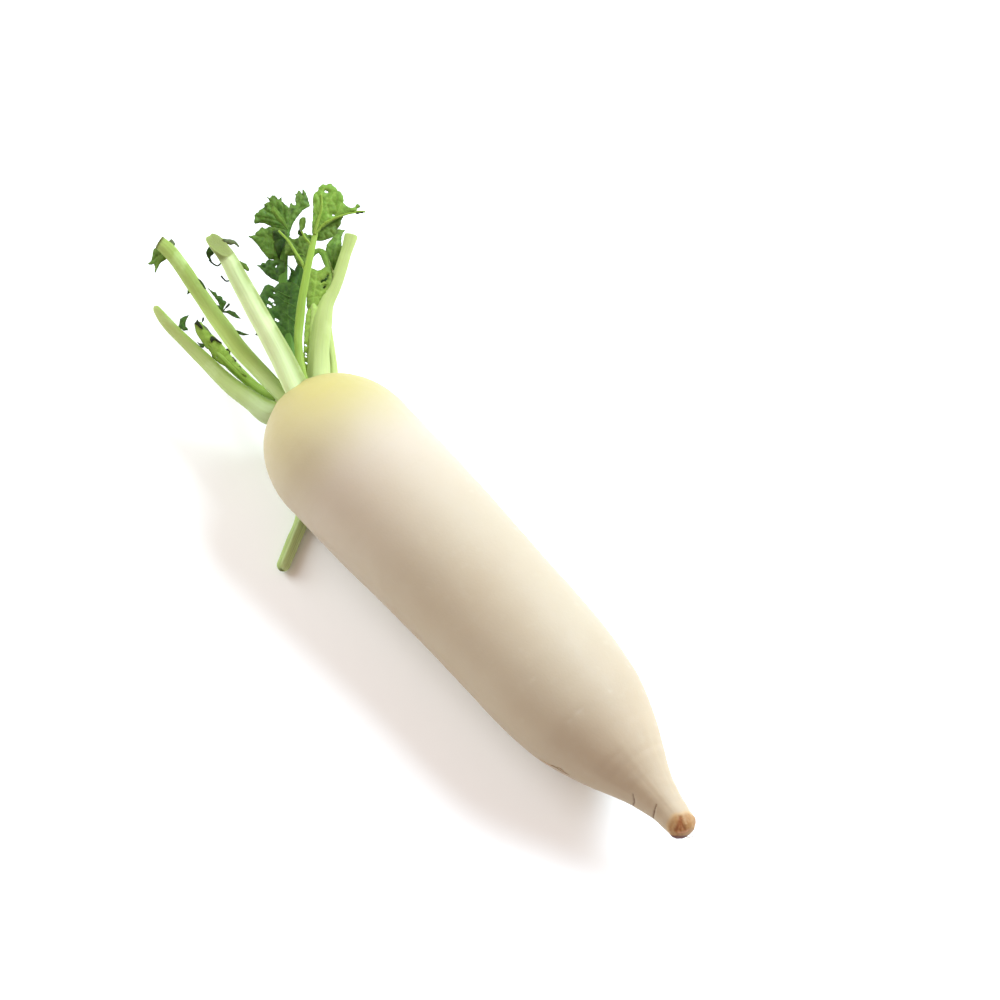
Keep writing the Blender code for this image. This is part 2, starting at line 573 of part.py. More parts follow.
def make_leaf(name, leaf, collection, clearance):
    """A leaf: its stalk joined with its veins and blades, kept clear of the root."""
    green = make_material(name + "_green", leaf["colour"], 0.5)
    stalk = make_stalk(name, leaf, collection, green)
    scraps = make_collection(name + "_scraps")
    for i, vein in enumerate(leaf.get("veins", [])):
        make_vein(f"{name}_vein_{i}", vein, scraps, green)
    for i, blade in enumerate(leaf["blades"]):
        make_blade(f"{name}_blade_{i}", blade, scraps, green)
    if len(scraps.objects) > 0:
        joining = stalk.modifiers.new("blades", "BOOLEAN")
        joining.operation = "UNION"
        joining.solver = "MANIFOLD"
        joining.operand_type = "COLLECTION"
        joining.collection = scraps
        applied(stalk)
    for scrap in list(scraps.objects):
        bpy.data.objects.remove(scrap, do_unlink=True)
    bpy.data.collections.remove(scraps)
    trimming = stalk.modifiers.new("clear of the root", "BOOLEAN")
    trimming.operation = "DIFFERENCE"
    trimming.object = clearance
    return stalk


def main():
    clear_scene()
    turnip = make_collection("white_turnip")
    cutters = make_collection("cutters")
    make_root(turnip, cutters)
    plain = make_material("clearance", (0.5, 0.5, 0.5), 0.5)
    clearance = loft("clearance_cutter", root_rings(LEAF_GAP), cutters, plain)
    clearance.hide_render = True
    clearance.display_type = "WIRE"
    for name, leaf in LEAVES.items():
        make_leaf(name, leaf, turnip, clearance)


main()
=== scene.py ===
import math
import random
from collections import namedtuple

import bmesh
import bpy
import numpy as np
from mathutils import Matrix, Vector, geometry, noise


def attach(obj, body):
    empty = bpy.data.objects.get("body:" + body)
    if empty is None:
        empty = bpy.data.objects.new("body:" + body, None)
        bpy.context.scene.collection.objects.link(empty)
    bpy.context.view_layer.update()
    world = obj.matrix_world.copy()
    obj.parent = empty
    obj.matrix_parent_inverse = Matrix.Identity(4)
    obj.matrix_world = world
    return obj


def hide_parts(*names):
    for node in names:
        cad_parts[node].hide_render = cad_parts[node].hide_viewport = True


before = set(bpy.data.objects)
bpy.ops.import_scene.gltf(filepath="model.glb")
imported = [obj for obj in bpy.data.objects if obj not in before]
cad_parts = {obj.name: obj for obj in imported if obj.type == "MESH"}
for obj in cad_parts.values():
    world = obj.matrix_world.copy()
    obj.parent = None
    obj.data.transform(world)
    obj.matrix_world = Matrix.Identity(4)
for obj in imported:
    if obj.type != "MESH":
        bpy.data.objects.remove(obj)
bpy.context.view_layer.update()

# The looks of a long white turnip that lies on its side, with its trimmed leaf stalks.
# Sizes and tables are in millimetres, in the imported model's frame, and become metres
# when a mesh is made.

MM = 0.001

# The photograph's view
IMAGE_SIZE = 1000.0
CAMERA_PLACE = Vector((359.2, -276.1, 1020.2))
CAMERA_AZIMUTH = math.radians(49.41)
CAMERA_ELEVATION = math.radians(64.0)
CAMERA_LENS = 90.0
CAMERA_SENSOR = 36.0

# Root, as in the solids
ROOT_LENGTH = 266.0
SHOULDER_LENGTH = 39.0
SHOULDER_RADIUS = 34.3
ROOT_PROFILE = [
    (39.0, 34.3), (70.0, 34.1), (95.0, 33.4), (136.0, 31.9), (155.0, 31.5),
    (174.0, 30.9), (190.0, 29.3), (203.0, 26.8), (221.0, 20.1), (230.0, 15.8),
    (240.0, 11.1), (250.0, 7.9), (258.0, 6.6), (263.5, 5.6), (265.4, 3.6),
]
NECK_PROFILE = [
    (6.4, 1.0), (6.0, 2.6), (4.9, 4.2), (3.2, 5.4), (1.2, 6.4), (-0.4, 7.7), (-1.5, 9.6),
]
NECK_LEAN = 2.0
AXIS_HEIGHT = 32.4
AXIS_TILT = math.radians(1.9)
AXIS_LIFT = 0.7
AXIS_LIFT_AT = 60.0
AXIS_BOW = 4.0
LEAF_PULL = 5.6

# Fineness of the meshes
NECK_RINGS = 22
SHOULDER_RINGS = 58
ROOT_SIDES = 200
BODY_STEP = 1.1
TAIL_STEP = 0.32
TAIL_FROM = 224.0
END_RINGS = [(265.7, 2.9), (265.9, 2.0), (266.0, 1.0)]
STALK_SIDES = 40
STALK_STEP = 0.9
STALK_END_STEPS = 7
TUBE_SIDES = 12
TUBE_STEP = 0.4
BLADE_GRID = 0.42
BLADE_THICKNESS = 0.5

# How far light passes under a surface, in metres
GLOW_DEPTH = 0.002

# A stalk's section, as in the solids
INNER_SHARE = 0.42
GROOVE_DEPTH = 0.10
GROOVE_WIDTH = 0.22
UPWARD = (-0.25, 0.92, -0.30)

# Leaf stalks in the crown's frame. Each row of a path is: out, up, side, width, depth.
# dried lays the cut colour over the top of a stalk's end: partly a cut face's own colour, partly
# painted shade
Stalk = namedtuple("Stalk", "path back end round_off slant rim dried", defaults=(0.0, 0.8, False))
STALKS = {
    "leaf_low": Stalk([
        (-9.0, 2.0, -6.0, 10.4, 9.6), (-0.5, 0.0, -11.0, 11.4, 11.2), (9.0, -1.0, -12.5, 10.0, 9.4),
        (22.0, -2.5, -14.0, 9.0, 8.2), (38.5, -3.5, -14.0, 7.8, 7.0), (54.5, -4.5, -14.0, 6.8, 6.0),
        (68.0, -5.0, -13.5, 6.0, 5.4), (76.0, -5.0, -12.5, 3.6, 3.2),
    ], (0.0, -0.2, -1.0), "round", 2.6),
    "leaf_torn": Stalk([
        (3.5, -5.0, -2.5, 4.6, 4.2), (11.5, -6.0, -5.0, 4.6, 4.4), (21.0, -6.0, -6.0, 4.8, 4.4),
        (30.5, -5.0, -6.5, 5.8, 4.6), (41.0, -4.5, -6.0, 6.4, 4.4), (49.5, -3.5, -5.5, 5.2, 3.6),
        (55.5, -2.5, -4.5, 3.0, 2.4),
    ], (0.0, -1.0, -0.5), "round", 1.8, slant=1.2),
    "leaf_blunt": Stalk([
        (-7.0, 4.5, -2.5, 7.6, 6.4), (3.0, 6.5, -3.0, 7.4, 6.6), (19.0, 8.5, -3.0, 7.6, 7.0),
        (28.5, 10.0, -3.0, 7.8, 7.2), (37.5, 11.5, -2.0, 8.0, 7.2), (47.0, 13.0, -1.0, 7.6, 7.0),
        (64.0, 16.5, 1.5, 6.8, 6.6), (80.0, 19.0, 3.5, 6.8, 6.4), (88.0, 20.0, 3.0, 6.2, 5.8),
    ], (0.0, 0.5, -1.0), "cut", 0.7, slant=0.8, rim=2.0),
    "leaf_pale": Stalk([
        (-9.0, 10.5, 1.0, 11.0, 7.0), (-1.5, 14.0, 3.0, 11.6, 7.6), (10.0, 19.0, 6.0, 10.6, 8.2),
        (20.0, 23.5, 8.0, 9.8, 8.2), (30.5, 28.0, 10.0, 9.4, 8.0), (43.5, 34.0, 12.5, 8.4, 7.4),
        (53.5, 38.5, 14.5, 7.6, 6.8), (60.0, 41.0, 15.0, 7.2, 6.4),
    ], (0.0, 1.0, 0.2), "cut", 0.7, slant=7.2, dried=True),
    "leaf_sprig": Stalk([
        (-3.0, 6.0, 8.0, 4.2, 4.0), (2.0, 7.5, 10.5, 4.6, 4.2), (8.5, 8.0, 15.0, 4.6, 4.0),
        (15.5, 9.5, 21.0, 4.4, 4.0), (22.0, 10.5, 28.0, 4.4, 4.0), (28.0, 12.0, 35.0, 4.0, 3.6),
        (40.5, 15.0, 51.5, 3.4, 3.0), (45.0, 16.0, 58.0, 2.6, 2.4), (48.5, 18.5, 63.5, 1.6, 1.4),
    ], (0.0, 0.4, 1.0), "round", 0.8),
    "leaf_thick": Stalk([
        (-9.0, -2.5, 10.5, 11.0, 10.4), (-1.0, -2.0, 17.5, 11.4, 11.2),
        (6.5, -1.5, 24.5, 10.0, 10.4), (12.0, -1.0, 30.5, 9.0, 9.6), (17.5, -0.5, 37.0, 8.6, 9.2),
        (22.5, 0.0, 44.0, 6.6, 7.2), (26.0, 0.5, 52.0, 5.6, 6.0), (30.5, 1.0, 60.0, 5.4, 5.8),
        (35.5, 2.0, 68.4, 5.2, 5.6), (39.6, 2.9, 74.9, 6.5, 6.8),
    ], (-0.6, 0.0, 1.0), "cut", 0.7, slant=-0.4),
    "leaf_narrow": Stalk([
        (-12.5, -9.0, 16.5, 4.6, 4.4), (-3.5, -9.0, 24.5, 4.6, 4.4), (5.0, -8.5, 31.0, 4.4, 4.2),
        (20.5, -8.5, 42.0, 4.2, 4.0), (27.0, -9.0, 46.0, 3.8, 3.6),
    ], (-0.6, -0.3, 1.0), "cut", 0.8, slant=1.0),
    "leaf_frond": Stalk([
        (-1.0, -2.5, 3.5, 4.6, 4.2), (5.0, -2.5, 8.0, 5.0, 4.4), (17.5, -3.0, 17.5, 5.0, 4.2),
        (28.0, -3.5, 25.0, 4.6, 3.8), (38.5, -4.0, 32.5, 4.2, 3.6), (53.5, -5.0, 46.0, 3.6, 3.0),
        (65.5, -5.5, 59.0, 2.2, 2.0), (69.0, -4.0, 62.5, 1.4, 1.2),
    ], (0.0, -1.0, 0.2), "round", 0.8),
    "leaf_folded": Stalk([
        (-1.0, -9.5, 0.5, 6.2, 5.4), (1.0, -15.0, 0.0, 6.6, 5.8), (1.0, -21.5, -2.0, 6.8, 5.8),
        (-3.5, -27.5, -6.5, 6.8, 5.8), (-12.0, -31.0, -12.5, 6.8, 5.8),
        (-24.0, -32.0, -19.0, 6.8, 5.8), (-36.5, -32.0, -25.0, 6.6, 5.8),
        (-43.5, -31.5, -37.0, 6.4, 5.8), (-50.5, -31.0, -50.5, 6.0, 5.4),
    ], (1.0, 0.0, 0.0), "round", 3.2),
}

# Shares of its radius that a side stalk and a blade's rib have from start to end
VEIN_TAPER = (1.18, 1.0, 0.78)
RIB_TAPER = (1.1, 1.0, 0.6)
# Slender side stalks: points in the crown's frame and a radius
VEINS = {
    "leaf_sprig": [
        ([(45.1, 16.2, 58.0), (46.4, 18.0, 64.4), (45.0, 19.0, 70.0), (42.8, 19.6, 74.4),
          (39.8, 19.9, 79.3), (37.4, 19.7, 82.0)], 0.62),
        ([(36.0, 13.4, 44.0), (40.0, 14.4, 45.4), (43.8, 15.0, 46.1), (51.5, 15.9, 47.6),
          (58.0, 16.2, 47.7)], 0.62),
        ([(41.6, 14.8, 53.2), (44.5, 16.4, 53.8), (46.5, 17.8, 53.5), (50.6, 20.6, 54.2)], 0.55),
    ],
    "leaf_thick": [
        ([(30.5, 0.0, 58.0), (33.0, -1.5, 58.0), (35.5, -3.5, 59.0), (40.0, -3.0, 61.0),
          (44.5, -2.5, 62.5), (47.0, -2.5, 61.0), (48.0, -4.0, 58.5)], 0.60),
    ],
}


def through(knots, values, at):
    """Value at one place on the smooth curve through the knots, as a Vector."""
    rows = [Vector(value if hasattr(value, "__len__") else (value, 0.0)) for value in values]
    last = len(knots) - 1
    at = min(max(at, knots[0]), knots[-1])
    i = 0
    while i < last - 1 and at > knots[i + 1]:
        i += 1

    def slope(j):
        before, after = max(j - 1, 0), min(j + 1, last)
        return (rows[after] - rows[before]) / (knots[after] - knots[before])

    span = knots[i + 1] - knots[i]
    t = (at - knots[i]) / span
    return (
        rows[i] * (2 * t**3 - 3 * t**2 + 1) + slope(i) * span * (t**3 - 2 * t**2 + t)
        + rows[i + 1] * (3 * t**2 - 2 * t**3) + slope(i + 1) * span * (t**3 - t**2)
    )


def smooth_step(low, high, value):
    """0 below low, 1 above high, and a smooth rise between them."""
    share = min(max((value - low) / (high - low), 0.0), 1.0)
    return share * share * (3.0 - 2.0 * share)


def evenly(start, end, step):
    """Places about a step apart, from start to end."""
    count = round((end - start) / step)
    return [start + (end - start) * i / count for i in range(count + 1)]


def turns(count):
    """Angles round a full turn."""
    return [2.0 * math.pi * i / count for i in range(count)]


def lengths_along(points):
    """Running length at each point of a chain of points."""
    lengths = [0.0]
    for before, after in zip(points, points[1:]):
        lengths.append(lengths[-1] + (after - before).length)
    return lengths


def root_radius(station):
    """Radius of the root at a distance from its crown end."""
    if station < SHOULDER_LENGTH:
        reach = 1.0 - max(station, 0.0) / SHOULDER_LENGTH
        return SHOULDER_RADIUS * math.sqrt(1.0 - reach**2)
    return through([row[0] for row in ROOT_PROFILE], [row[1] for row in ROOT_PROFILE], station)[0]


def bow(station):
    """How far the root's axis swings sideways at a station."""
    share = station / ROOT_LENGTH
    return AXIS_BOW * 4.0 * share * (1.0 - share)


def balance_point():
    """Station and sideways swing of the root's centre of mass."""
    stations = [float(station) for station in range(int(ROOT_LENGTH))]
    weights = [root_radius(station) ** 2 for station in stations]
    total = sum(weights)
    station_mean = sum(s * w for s, w in zip(stations, weights)) / total
    bow_mean = sum(bow(s) * w for s, w in zip(stations, weights)) / total
    return station_mean - LEAF_PULL, bow_mean


BALANCE, BOW_MEAN = balance_point()


def axis_point(station):
    """Point of the root's axis at a distance from its crown end."""
    along = station - BALANCE
    return Vector((
        along * math.cos(AXIS_TILT),
        bow(station) - BOW_MEAN,
        AXIS_HEIGHT - along * math.sin(AXIS_TILT) + AXIS_LIFT * (along / AXIS_LIFT_AT) ** 2,
    ))


def axis_frame(station):
    """Directions along the root, upwards and sideways at a station."""
    along = (axis_point(station + 1.0) - axis_point(station)).normalized()
    sideways = Vector((0.0, 0.0, 1.0)).cross(along).normalized()
    return along, along.cross(sideways), sideways


CROWN = axis_point(0.0)
CROWN_ALONG, CROWN_UP, CROWN_SIDE = axis_frame(0.0)


def crown_direction(row):
    """Turn (out, up, side) into a direction of the scene."""
    return CROWN_UP * row[1] + CROWN_SIDE * row[2] - CROWN_ALONG * row[0]


def crown_point(row):
    """Turn (out, up, side) into a point of the scene."""
    return CROWN + crown_direction(row)


# Lines of sight

# Most steps towards the root, the share of the gap that a step takes, and how near is on it
SIGHT_STEPS = 60
SIGHT_STEP = 0.7
SIGHT_GAP = 0.02
FORWARD = Vector((
    -math.sin(CAMERA_AZIMUTH) * math.cos(CAMERA_ELEVATION),
    math.cos(CAMERA_AZIMUTH) * math.cos(CAMERA_ELEVATION),
    -math.sin(CAMERA_ELEVATION),
))
RIGHTWARD = Vector((math.cos(CAMERA_AZIMUTH), math.sin(CAMERA_AZIMUTH), 0.0))
IMAGE_UP = RIGHTWARD.cross(FORWARD)


def sight(pixel):
    """Direction from the camera through a pixel of the photograph."""
    focal = IMAGE_SIZE * CAMERA_LENS / CAMERA_SENSOR
    right = (pixel[0] - IMAGE_SIZE / 2) / focal
    up = (IMAGE_SIZE / 2 - pixel[1]) / focal
    return (FORWARD + RIGHTWARD * right + IMAGE_UP * up).normalized()


def on_plane(pixel, place, normal):
    """Where the sight line through a pixel meets a plane."""
    ray = sight(pixel)
    return CAMERA_PLACE + ray * ((place - CAMERA_PLACE).dot(normal) / ray.dot(normal))


def surface_place(station, turn, lift=0.0):
    """Point on the root's skin, and the direction out of it."""
    _, upwards, sideways = axis_frame(station)
    out = upwards * math.cos(turn) + sideways * math.sin(turn)
    return axis_point(station) + out * (root_radius(station) + lift), out


def root_coordinates(place):
    """Station, turn and distance from the axis of a point near the root."""
    station = place.x / math.cos(AXIS_TILT) + BALANCE
    _, upwards, sideways = axis_frame(station)
    offset = place - axis_point(station)
    up, side = offset.dot(upwards), offset.dot(sideways)
    return station, math.atan2(side, up), math.hypot(up, side)


def on_root(pixel):
    """Station and turn where the sight line through a pixel meets the root."""
    ray = sight(pixel)
    reach = (CROWN - CAMERA_PLACE).length - 3.0 * SHOULDER_RADIUS
    for _ in range(SIGHT_STEPS):
        station, turn, distance = root_coordinates(CAMERA_PLACE + ray * reach)
        station = min(max(station, 0.0), ROOT_LENGTH)
        gap = distance - root_radius(station)
        if gap < SIGHT_GAP:
            break
        reach += SIGHT_STEP * gap
    return station, turn


# Mesh helpers


def new_object(name, mesh, material, slot, node=None):
    """Link a mesh as a piece of the root's body."""
    mesh.materials.append(material)
    piece = bpy.data.objects.new(name, mesh)
    bpy.context.scene.collection.objects.link(piece)
    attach(piece, "root")
    if node:
        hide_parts(node)
    return piece


def note(marks, **values):
    """Add one vertex's numbers to lists by name."""
    for name, value in values.items():
        marks.setdefault(name, []).append(value)


def grid_mesh(name, rings, values):
    """Closed mesh through rings of equal count, with per-vertex values as attributes."""
    sides = len(rings[0])
    vertices = [tuple(point * MM) for ring in rings for point in ring]
    faces = []
    for r in range(len(rings) - 1):
        for i in range(sides):
            j = (i + 1) % sides
            faces.append((r * sides + i, r * sides + j, (r + 1) * sides + j, (r + 1) * sides + i))
    faces.append(tuple(reversed(range(sides))))
    faces.append(tuple(range((len(rings) - 1) * sides, len(rings) * sides)))
    mesh = bpy.data.meshes.new(name)
    mesh.from_pydata(vertices, [], faces)
    mesh.update()
    set_values(mesh, values)
    outward(mesh)
    mesh.shade_smooth()
    return mesh


def set_values(mesh, values):
    """Store per-vertex numbers that the materials read by name."""
    for name, numbers in values.items():
        layer = mesh.attributes.new(name, "FLOAT", "POINT")
        layer.data.foreach_set("value", np.asarray(numbers, dtype=np.float32).ravel())


def outward(mesh):
    """Turn every face of a closed mesh to point out."""
    shape = bmesh.new()
    shape.from_mesh(mesh)
    bmesh.ops.recalc_face_normals(shape, faces=shape.faces)
    shape.to_mesh(mesh)
    shape.free()


def transported_frames(points, back):
    """Direction, back and across vectors at each point, turning as little as possible."""
    frames = []
    for i in range(len(points)):
        along = (points[min(i + 1, len(points) - 1)] - points[max(i - 1, 0)]).normalized()
        back = (back - along * back.dot(along)).normalized()
        frames.append((along, back, along.cross(back)))
    return frames


# Node material helpers


def add_node(tree, kind, inputs=None, **settings):
    """A shader node with its settings and its inputs, linked or set."""
    node = tree.nodes.new(kind)
    for name, value in settings.items():
        setattr(node, name, value)
    for key, value in (inputs or {}).items():
        socket = node.inputs[key]
        if isinstance(value, bpy.types.NodeSocket):
            tree.links.new(value, socket)
        else:
            socket.default_value = value
    return node


def number(tree, operation, first, second):
    return add_node(tree, "ShaderNodeMath", {0: first, 1: second}, operation=operation).outputs[0]


def product(tree, first, second):
    return number(tree, "MULTIPLY", first, second)


def total(tree, first, second):
    return number(tree, "ADD", first, second)


def inverse(tree, share):
    return number(tree, "SUBTRACT", 1.0, share)


def value_of(tree, name):
    return add_node(tree, "ShaderNodeAttribute", attribute_name=name).outputs["Fac"]


def spread(tree, value, low, high):
    """0 where value is low, 1 where it is high."""
    inputs = {0: value, 1: low, 2: high}
    return add_node(tree, "ShaderNodeMapRange", inputs, interpolation_type="SMOOTHSTEP").outputs[0]


def scaled(tree, value, low, high, out_low, out_high):
    """A number moved in a straight line from one range to another."""
    inputs = {0: value, 1: low, 2: high, 3: out_low, 4: out_high}
    return add_node(tree, "ShaderNodeMapRange", inputs).outputs[0]


def blend(tree, share, first, second):
    """A mix of two colours, each a socket or a plain colour."""
    mixed = [c if isinstance(c, bpy.types.NodeSocket) else (*c, 1.0) for c in (first, second)]
    inputs = {0: share, 6: mixed[0], 7: mixed[1]}
    return add_node(tree, "ShaderNodeMix", inputs, data_type="RGBA").outputs[2]


def tinted(tree, colour, tint, share, strength):
    """A colour with some of a tint over it."""
    return blend(tree, product(tree, share, strength), colour, tint)


def cloud(tree, place, per_metre, detail=2.0, roughness=0.5):
    """Soft noise, 0 to 1."""
    inputs = {"Vector": place, "Scale": per_metre, "Detail": detail, "Roughness": roughness}
    return add_node(tree, "ShaderNodeTexNoise", inputs).outputs["Fac"]


def cells(tree, place, per_metre):
    """Distance to the edge of the nearest cell."""
    inputs = {"Vector": place, "Scale": per_metre}
    node = add_node(tree, "ShaderNodeTexVoronoi", inputs, feature="DISTANCE_TO_EDGE")
    return node.outputs["Distance"]


def object_place(tree):
    return add_node(tree, "ShaderNodeTexCoord").outputs["Object"]


def stretched(tree, along, along_scale, around_scale):
    """A seamless texture place that runs along and around a long form."""
    inputs = {
        0: product(tree, along, along_scale),
        1: product(tree, value_of(tree, "north"), around_scale),
        2: product(tree, value_of(tree, "east"), around_scale),
    }
    return add_node(tree, "ShaderNodeCombineXYZ", inputs).outputs[0]


def bump(tree, height, strength, distance):
    inputs = {"Height": height, "Strength": strength, "Distance": distance}
    return add_node(tree, "ShaderNodeBump", inputs).outputs[0]


def new_material(name, roughness, glow, glow_radius=(1.0, 0.6, 0.3), shine=0.5):
    """A Principled material with a little light passing under its surface."""
    material = bpy.data.materials.new(name)
    material.use_nodes = True
    shader = material.node_tree.nodes["Principled BSDF"]
    shader.inputs["Roughness"].default_value = roughness
    shader.inputs["Specular IOR Level"].default_value = shine
    shader.inputs["Subsurface Weight"].default_value = glow
    shader.inputs["Subsurface Radius"].default_value = glow_radius
    shader.inputs["Subsurface Scale"].default_value = GLOW_DEPTH
    return material, material.node_tree, shader


# Skin of the root

SKIN_CREAM = (0.418, 0.358, 0.253)
SKIN_WARM = (0.405, 0.337, 0.231)
SKIN_PALE = (0.456, 0.403, 0.295)
# Painted light, partly the skin's own variation: paler skin towards the crown, where more fill
# light falls
SKIN_UPPER_PAINTED_LIGHT = (0.472, 0.413, 0.318)
# Partly the skin's own browner tone, partly painted shade and warm reflection towards the tail
SKIN_TAIL = (0.428, 0.346, 0.230)
SKIN_GREEN = (0.409, 0.361, 0.124)
SKIN_GREEN_DEEP = (0.300, 0.319, 0.074)
TIP_RIM = (0.462, 0.330, 0.173)
TIP_OCHRE = (0.330, 0.178, 0.062)
TIP_TAN = (0.350, 0.212, 0.090)
TIP_WEDGE = (0.238, 0.079, 0.020)
# Painted highlight: pinkish, under the end's dent
TIP_PAINTED_HIGHLIGHT = (0.560, 0.290, 0.180)
# Painted shade: the deep brown of the end's underside
TIP_UNDERSIDE_SHADE = (0.091, 0.0145, 0.0035)
CRACK_BROWN = (0.119, 0.056, 0.023)

# Stations between which the skin's colours change (the paler upper skin is painted light, the
# warmer tail partly painted shade and warm reflection), and how far the green's edge wanders
UPPER_FADE = (40.0, 125.0)
TAIL_FADE = (185.0, 232.0)
GREEN_FADE = (16.0, 62.0)
COLLAR_FADE = (-6.0, 8.0)
GREEN_WANDER = 14.0

# Pixels of the photograph where the skin has a pale nick, with the nick's length
NICKS = [
    ((533, 679), 3.4), ((580, 712), 4.2), ((571, 722), 2.4), ((428, 586), 1.6), ((610, 690), 2.0),
]
# Pixels along the two cracks that run up from the tail's lower edge, with their width
CRACKS = [
    ([(633.4, 795), (634.0, 798), (634.6, 801)], 0.20),
    ([(634.4, 800), (635.0, 803.4), (633.6, 806.5)], 0.42),
    ([(657, 805.5), (655.8, 809), (655.0, 813)], 0.20),
    ([(655.0, 812), (653.8, 816), (653.4, 819)], 0.40),
]
CRACK_DEPTH = 0.35
# Pixels down the dent in the tail's end
WEDGES = [
    [(680.6, 818), (679.6, 822), (678, 827), (676.4, 831)],
    [(680.6, 818), (680.6, 823), (680.4, 830.5)],
    [(680.6, 818), (681.4, 822), (682.6, 826), (684.4, 830)],
]
WEDGE_WIDTH = 0.78
# Pixels along the pinkish painted highlight under the dent
HIGHLIGHT_PIXELS = [[(679, 833.2), (684.5, 832.6), (689, 830.5)]]
HIGHLIGHT_WIDTH = 0.42
WEDGE_DEPTH = 0.45
# Stations from which cracks and the end's dent are looked for
CRACKS_FROM = 232.0
END_FROM = 256.0
# Two rows of side-root scars: their turn, first and last station, and a scar's width and depth
SCAR_TURN = 0.95
SCARS_FROM = 52.0
SCARS_TO = 236.0
SCAR_WIDTH = 0.55
SCAR_DEPTH = 0.16
SCAR_REACH = 3.0
# Ranges of the random draws: how far off its row a scar is, its length and the gap to the next
SCAR_SWINGS = (-0.22, 0.22)
SCAR_LENGTHS = (1.8, 4.6)
SCAR_GAPS = (11.0, 24.0)
# Station where the tail's end turns ochre, by turn: nearest the leaves on top
TIP_STATION = 257.2
TIP_SLOPE = 3.0
TIP_SLOPE_MOST = 2.4
# How far before and behind that edge the colour changes
TIP_FADE = (1.2, 3.0)
# Station of the end's middle, and how far below it, in the picture, the underside's painted shade,
# a deep brown, starts
END_CENTRE = 262.0
UNDERSIDE_SHADE_FADE = (2.9, 3.8)
# Folds under the leaves: their depth, number, and the stations where they start and run out
FOLD_DEPTH = 0.55
FOLD_COUNT = 9.0
FOLD_START = (-1.0, 1.0)
FOLD_END = (3.0, 15.0)
# Relief of the skin: height and size of its lumps, all over, on the tail and on the rough end
BROAD_LUMPS = (0.30, 34.0)
SOFT_LUMPS = (0.07, 9.0)
TAIL_LUMPS = (0.20, 11.0)
ROUGH_LUMPS = (0.42, 2.1)
ROUGH_GRAIN = (0.16, 0.8)
# Rings across the root: their height, what the tail adds to it, their spacing and unevenness
RING_HEIGHT = 0.03
TAIL_RING_HEIGHT = 0.11
RING_SPACING = 2.6
RING_TURNS = 1.3
# Ribs along the tail: their height, length and closeness
TAIL_RIB_HEIGHT = 0.15
TAIL_RIB_LENGTH = 60.0
TAIL_RIB_TURNS = 5.0
# Stations between which the tail's relief comes and goes, and the end's roughness comes
TAIL_RELIEF_START = (196.0, 236.0)
TAIL_RELIEF_END = (254.0, 259.0)
ROUGH_START = (257.0, 263.0)


def root_rings():
    """Stations of the fine rings, with radius and sideways lean."""
    knots = [-row[0] for row in NECK_PROFILE]
    radii = [row[1] for row in NECK_PROFILE]
    rings = []
    for i in range(NECK_RINGS):
        station = knots[0] + (knots[-1] - knots[0]) * i / NECK_RINGS
        lean = NECK_LEAN * max(-station, 0.0) / NECK_PROFILE[0][0]
        rings.append((station, through(knots, radii, station)[0], lean))
    first_turn = math.acos(1.0 - knots[-1] / SHOULDER_LENGTH)
    stations = []
    for i in range(SHOULDER_RINGS):
        turn = first_turn + (math.pi / 2 - first_turn) * i / SHOULDER_RINGS
        stations.append(SHOULDER_LENGTH * (1.0 - math.cos(turn)))
    stations += evenly(SHOULDER_LENGTH, TAIL_FROM, BODY_STEP)[:-1]
    stations += evenly(TAIL_FROM, ROOT_PROFILE[-1][0], TAIL_STEP)
    rings += [(station, root_radius(station), 0.0) for station in stations]
    return rings + [(station, radius, 0.0) for station, radius in END_RINGS]


def scar_rows(draw):
    """Two opposite rows of short side-root scars: station, turn, length."""
    scars = []
    for row_turn in (SCAR_TURN, SCAR_TURN + math.pi):
        station = SCARS_FROM
        while station < SCARS_TO:
            turn = row_turn + draw.uniform(*SCAR_SWINGS)
            scars.append((station, turn, draw.uniform(*SCAR_LENGTHS)))
            station += draw.uniform(*SCAR_GAPS)
    return scars


def near_scar(station, turn, radius, scars):
    """How deep inside a slit-like scar a point of the skin is, 0 to 1."""
    deepest = 0.0
    for scar_station, scar_turn, length in scars:
        along = station - scar_station
        if abs(along) > SCAR_REACH:
            continue
        around = ((turn - scar_turn + math.pi) % (2.0 * math.pi) - math.pi) * radius
        if abs(around) < length:
            shape = (along / SCAR_WIDTH) ** 2 + (around / (0.5 * length)) ** 2
            deepest = max(deepest, math.exp(-shape))
    return deepest


def near_line(place, lines, width):
    """How close to one of some chains of points a point is, 0 to 1."""
    deepest = 0.0
    for points in lines:
        for start, end in zip(points, points[1:]):
            run = end - start
            share = min(max((place - start).dot(run) / run.length_squared, 0.0), 1.0)
            gap = (place - start - run * share).length
            deepest = max(deepest, math.exp(-((gap / width) ** 2)))
    return deepest


def lines_on_root(chains):
    """Chains of pixels laid onto the root's smooth form."""
    return [[surface_place(*on_root(pixel))[0] for pixel in chain] for chain in chains]


def tip_share(station, turn):
    """0 on the white skin and 1 on the ochre end, with a slanting edge between them."""
    slope = min(TIP_SLOPE * (1.0 - math.cos(turn + 0.1)), TIP_SLOPE_MOST)
    edge = TIP_STATION + slope + 0.6 * math.sin(turn)
    edge += 0.35 * math.sin(3.0 * turn) + 0.2 * math.sin(7.0 * turn)
    return smooth_step(edge - TIP_FADE[0], edge + TIP_FADE[1], station)


def around_root(station, turn, length, closeness):
    """A place for noise that runs along the root and closes round it."""
    return Vector((station / length, closeness * math.cos(turn), closeness * math.sin(turn)))


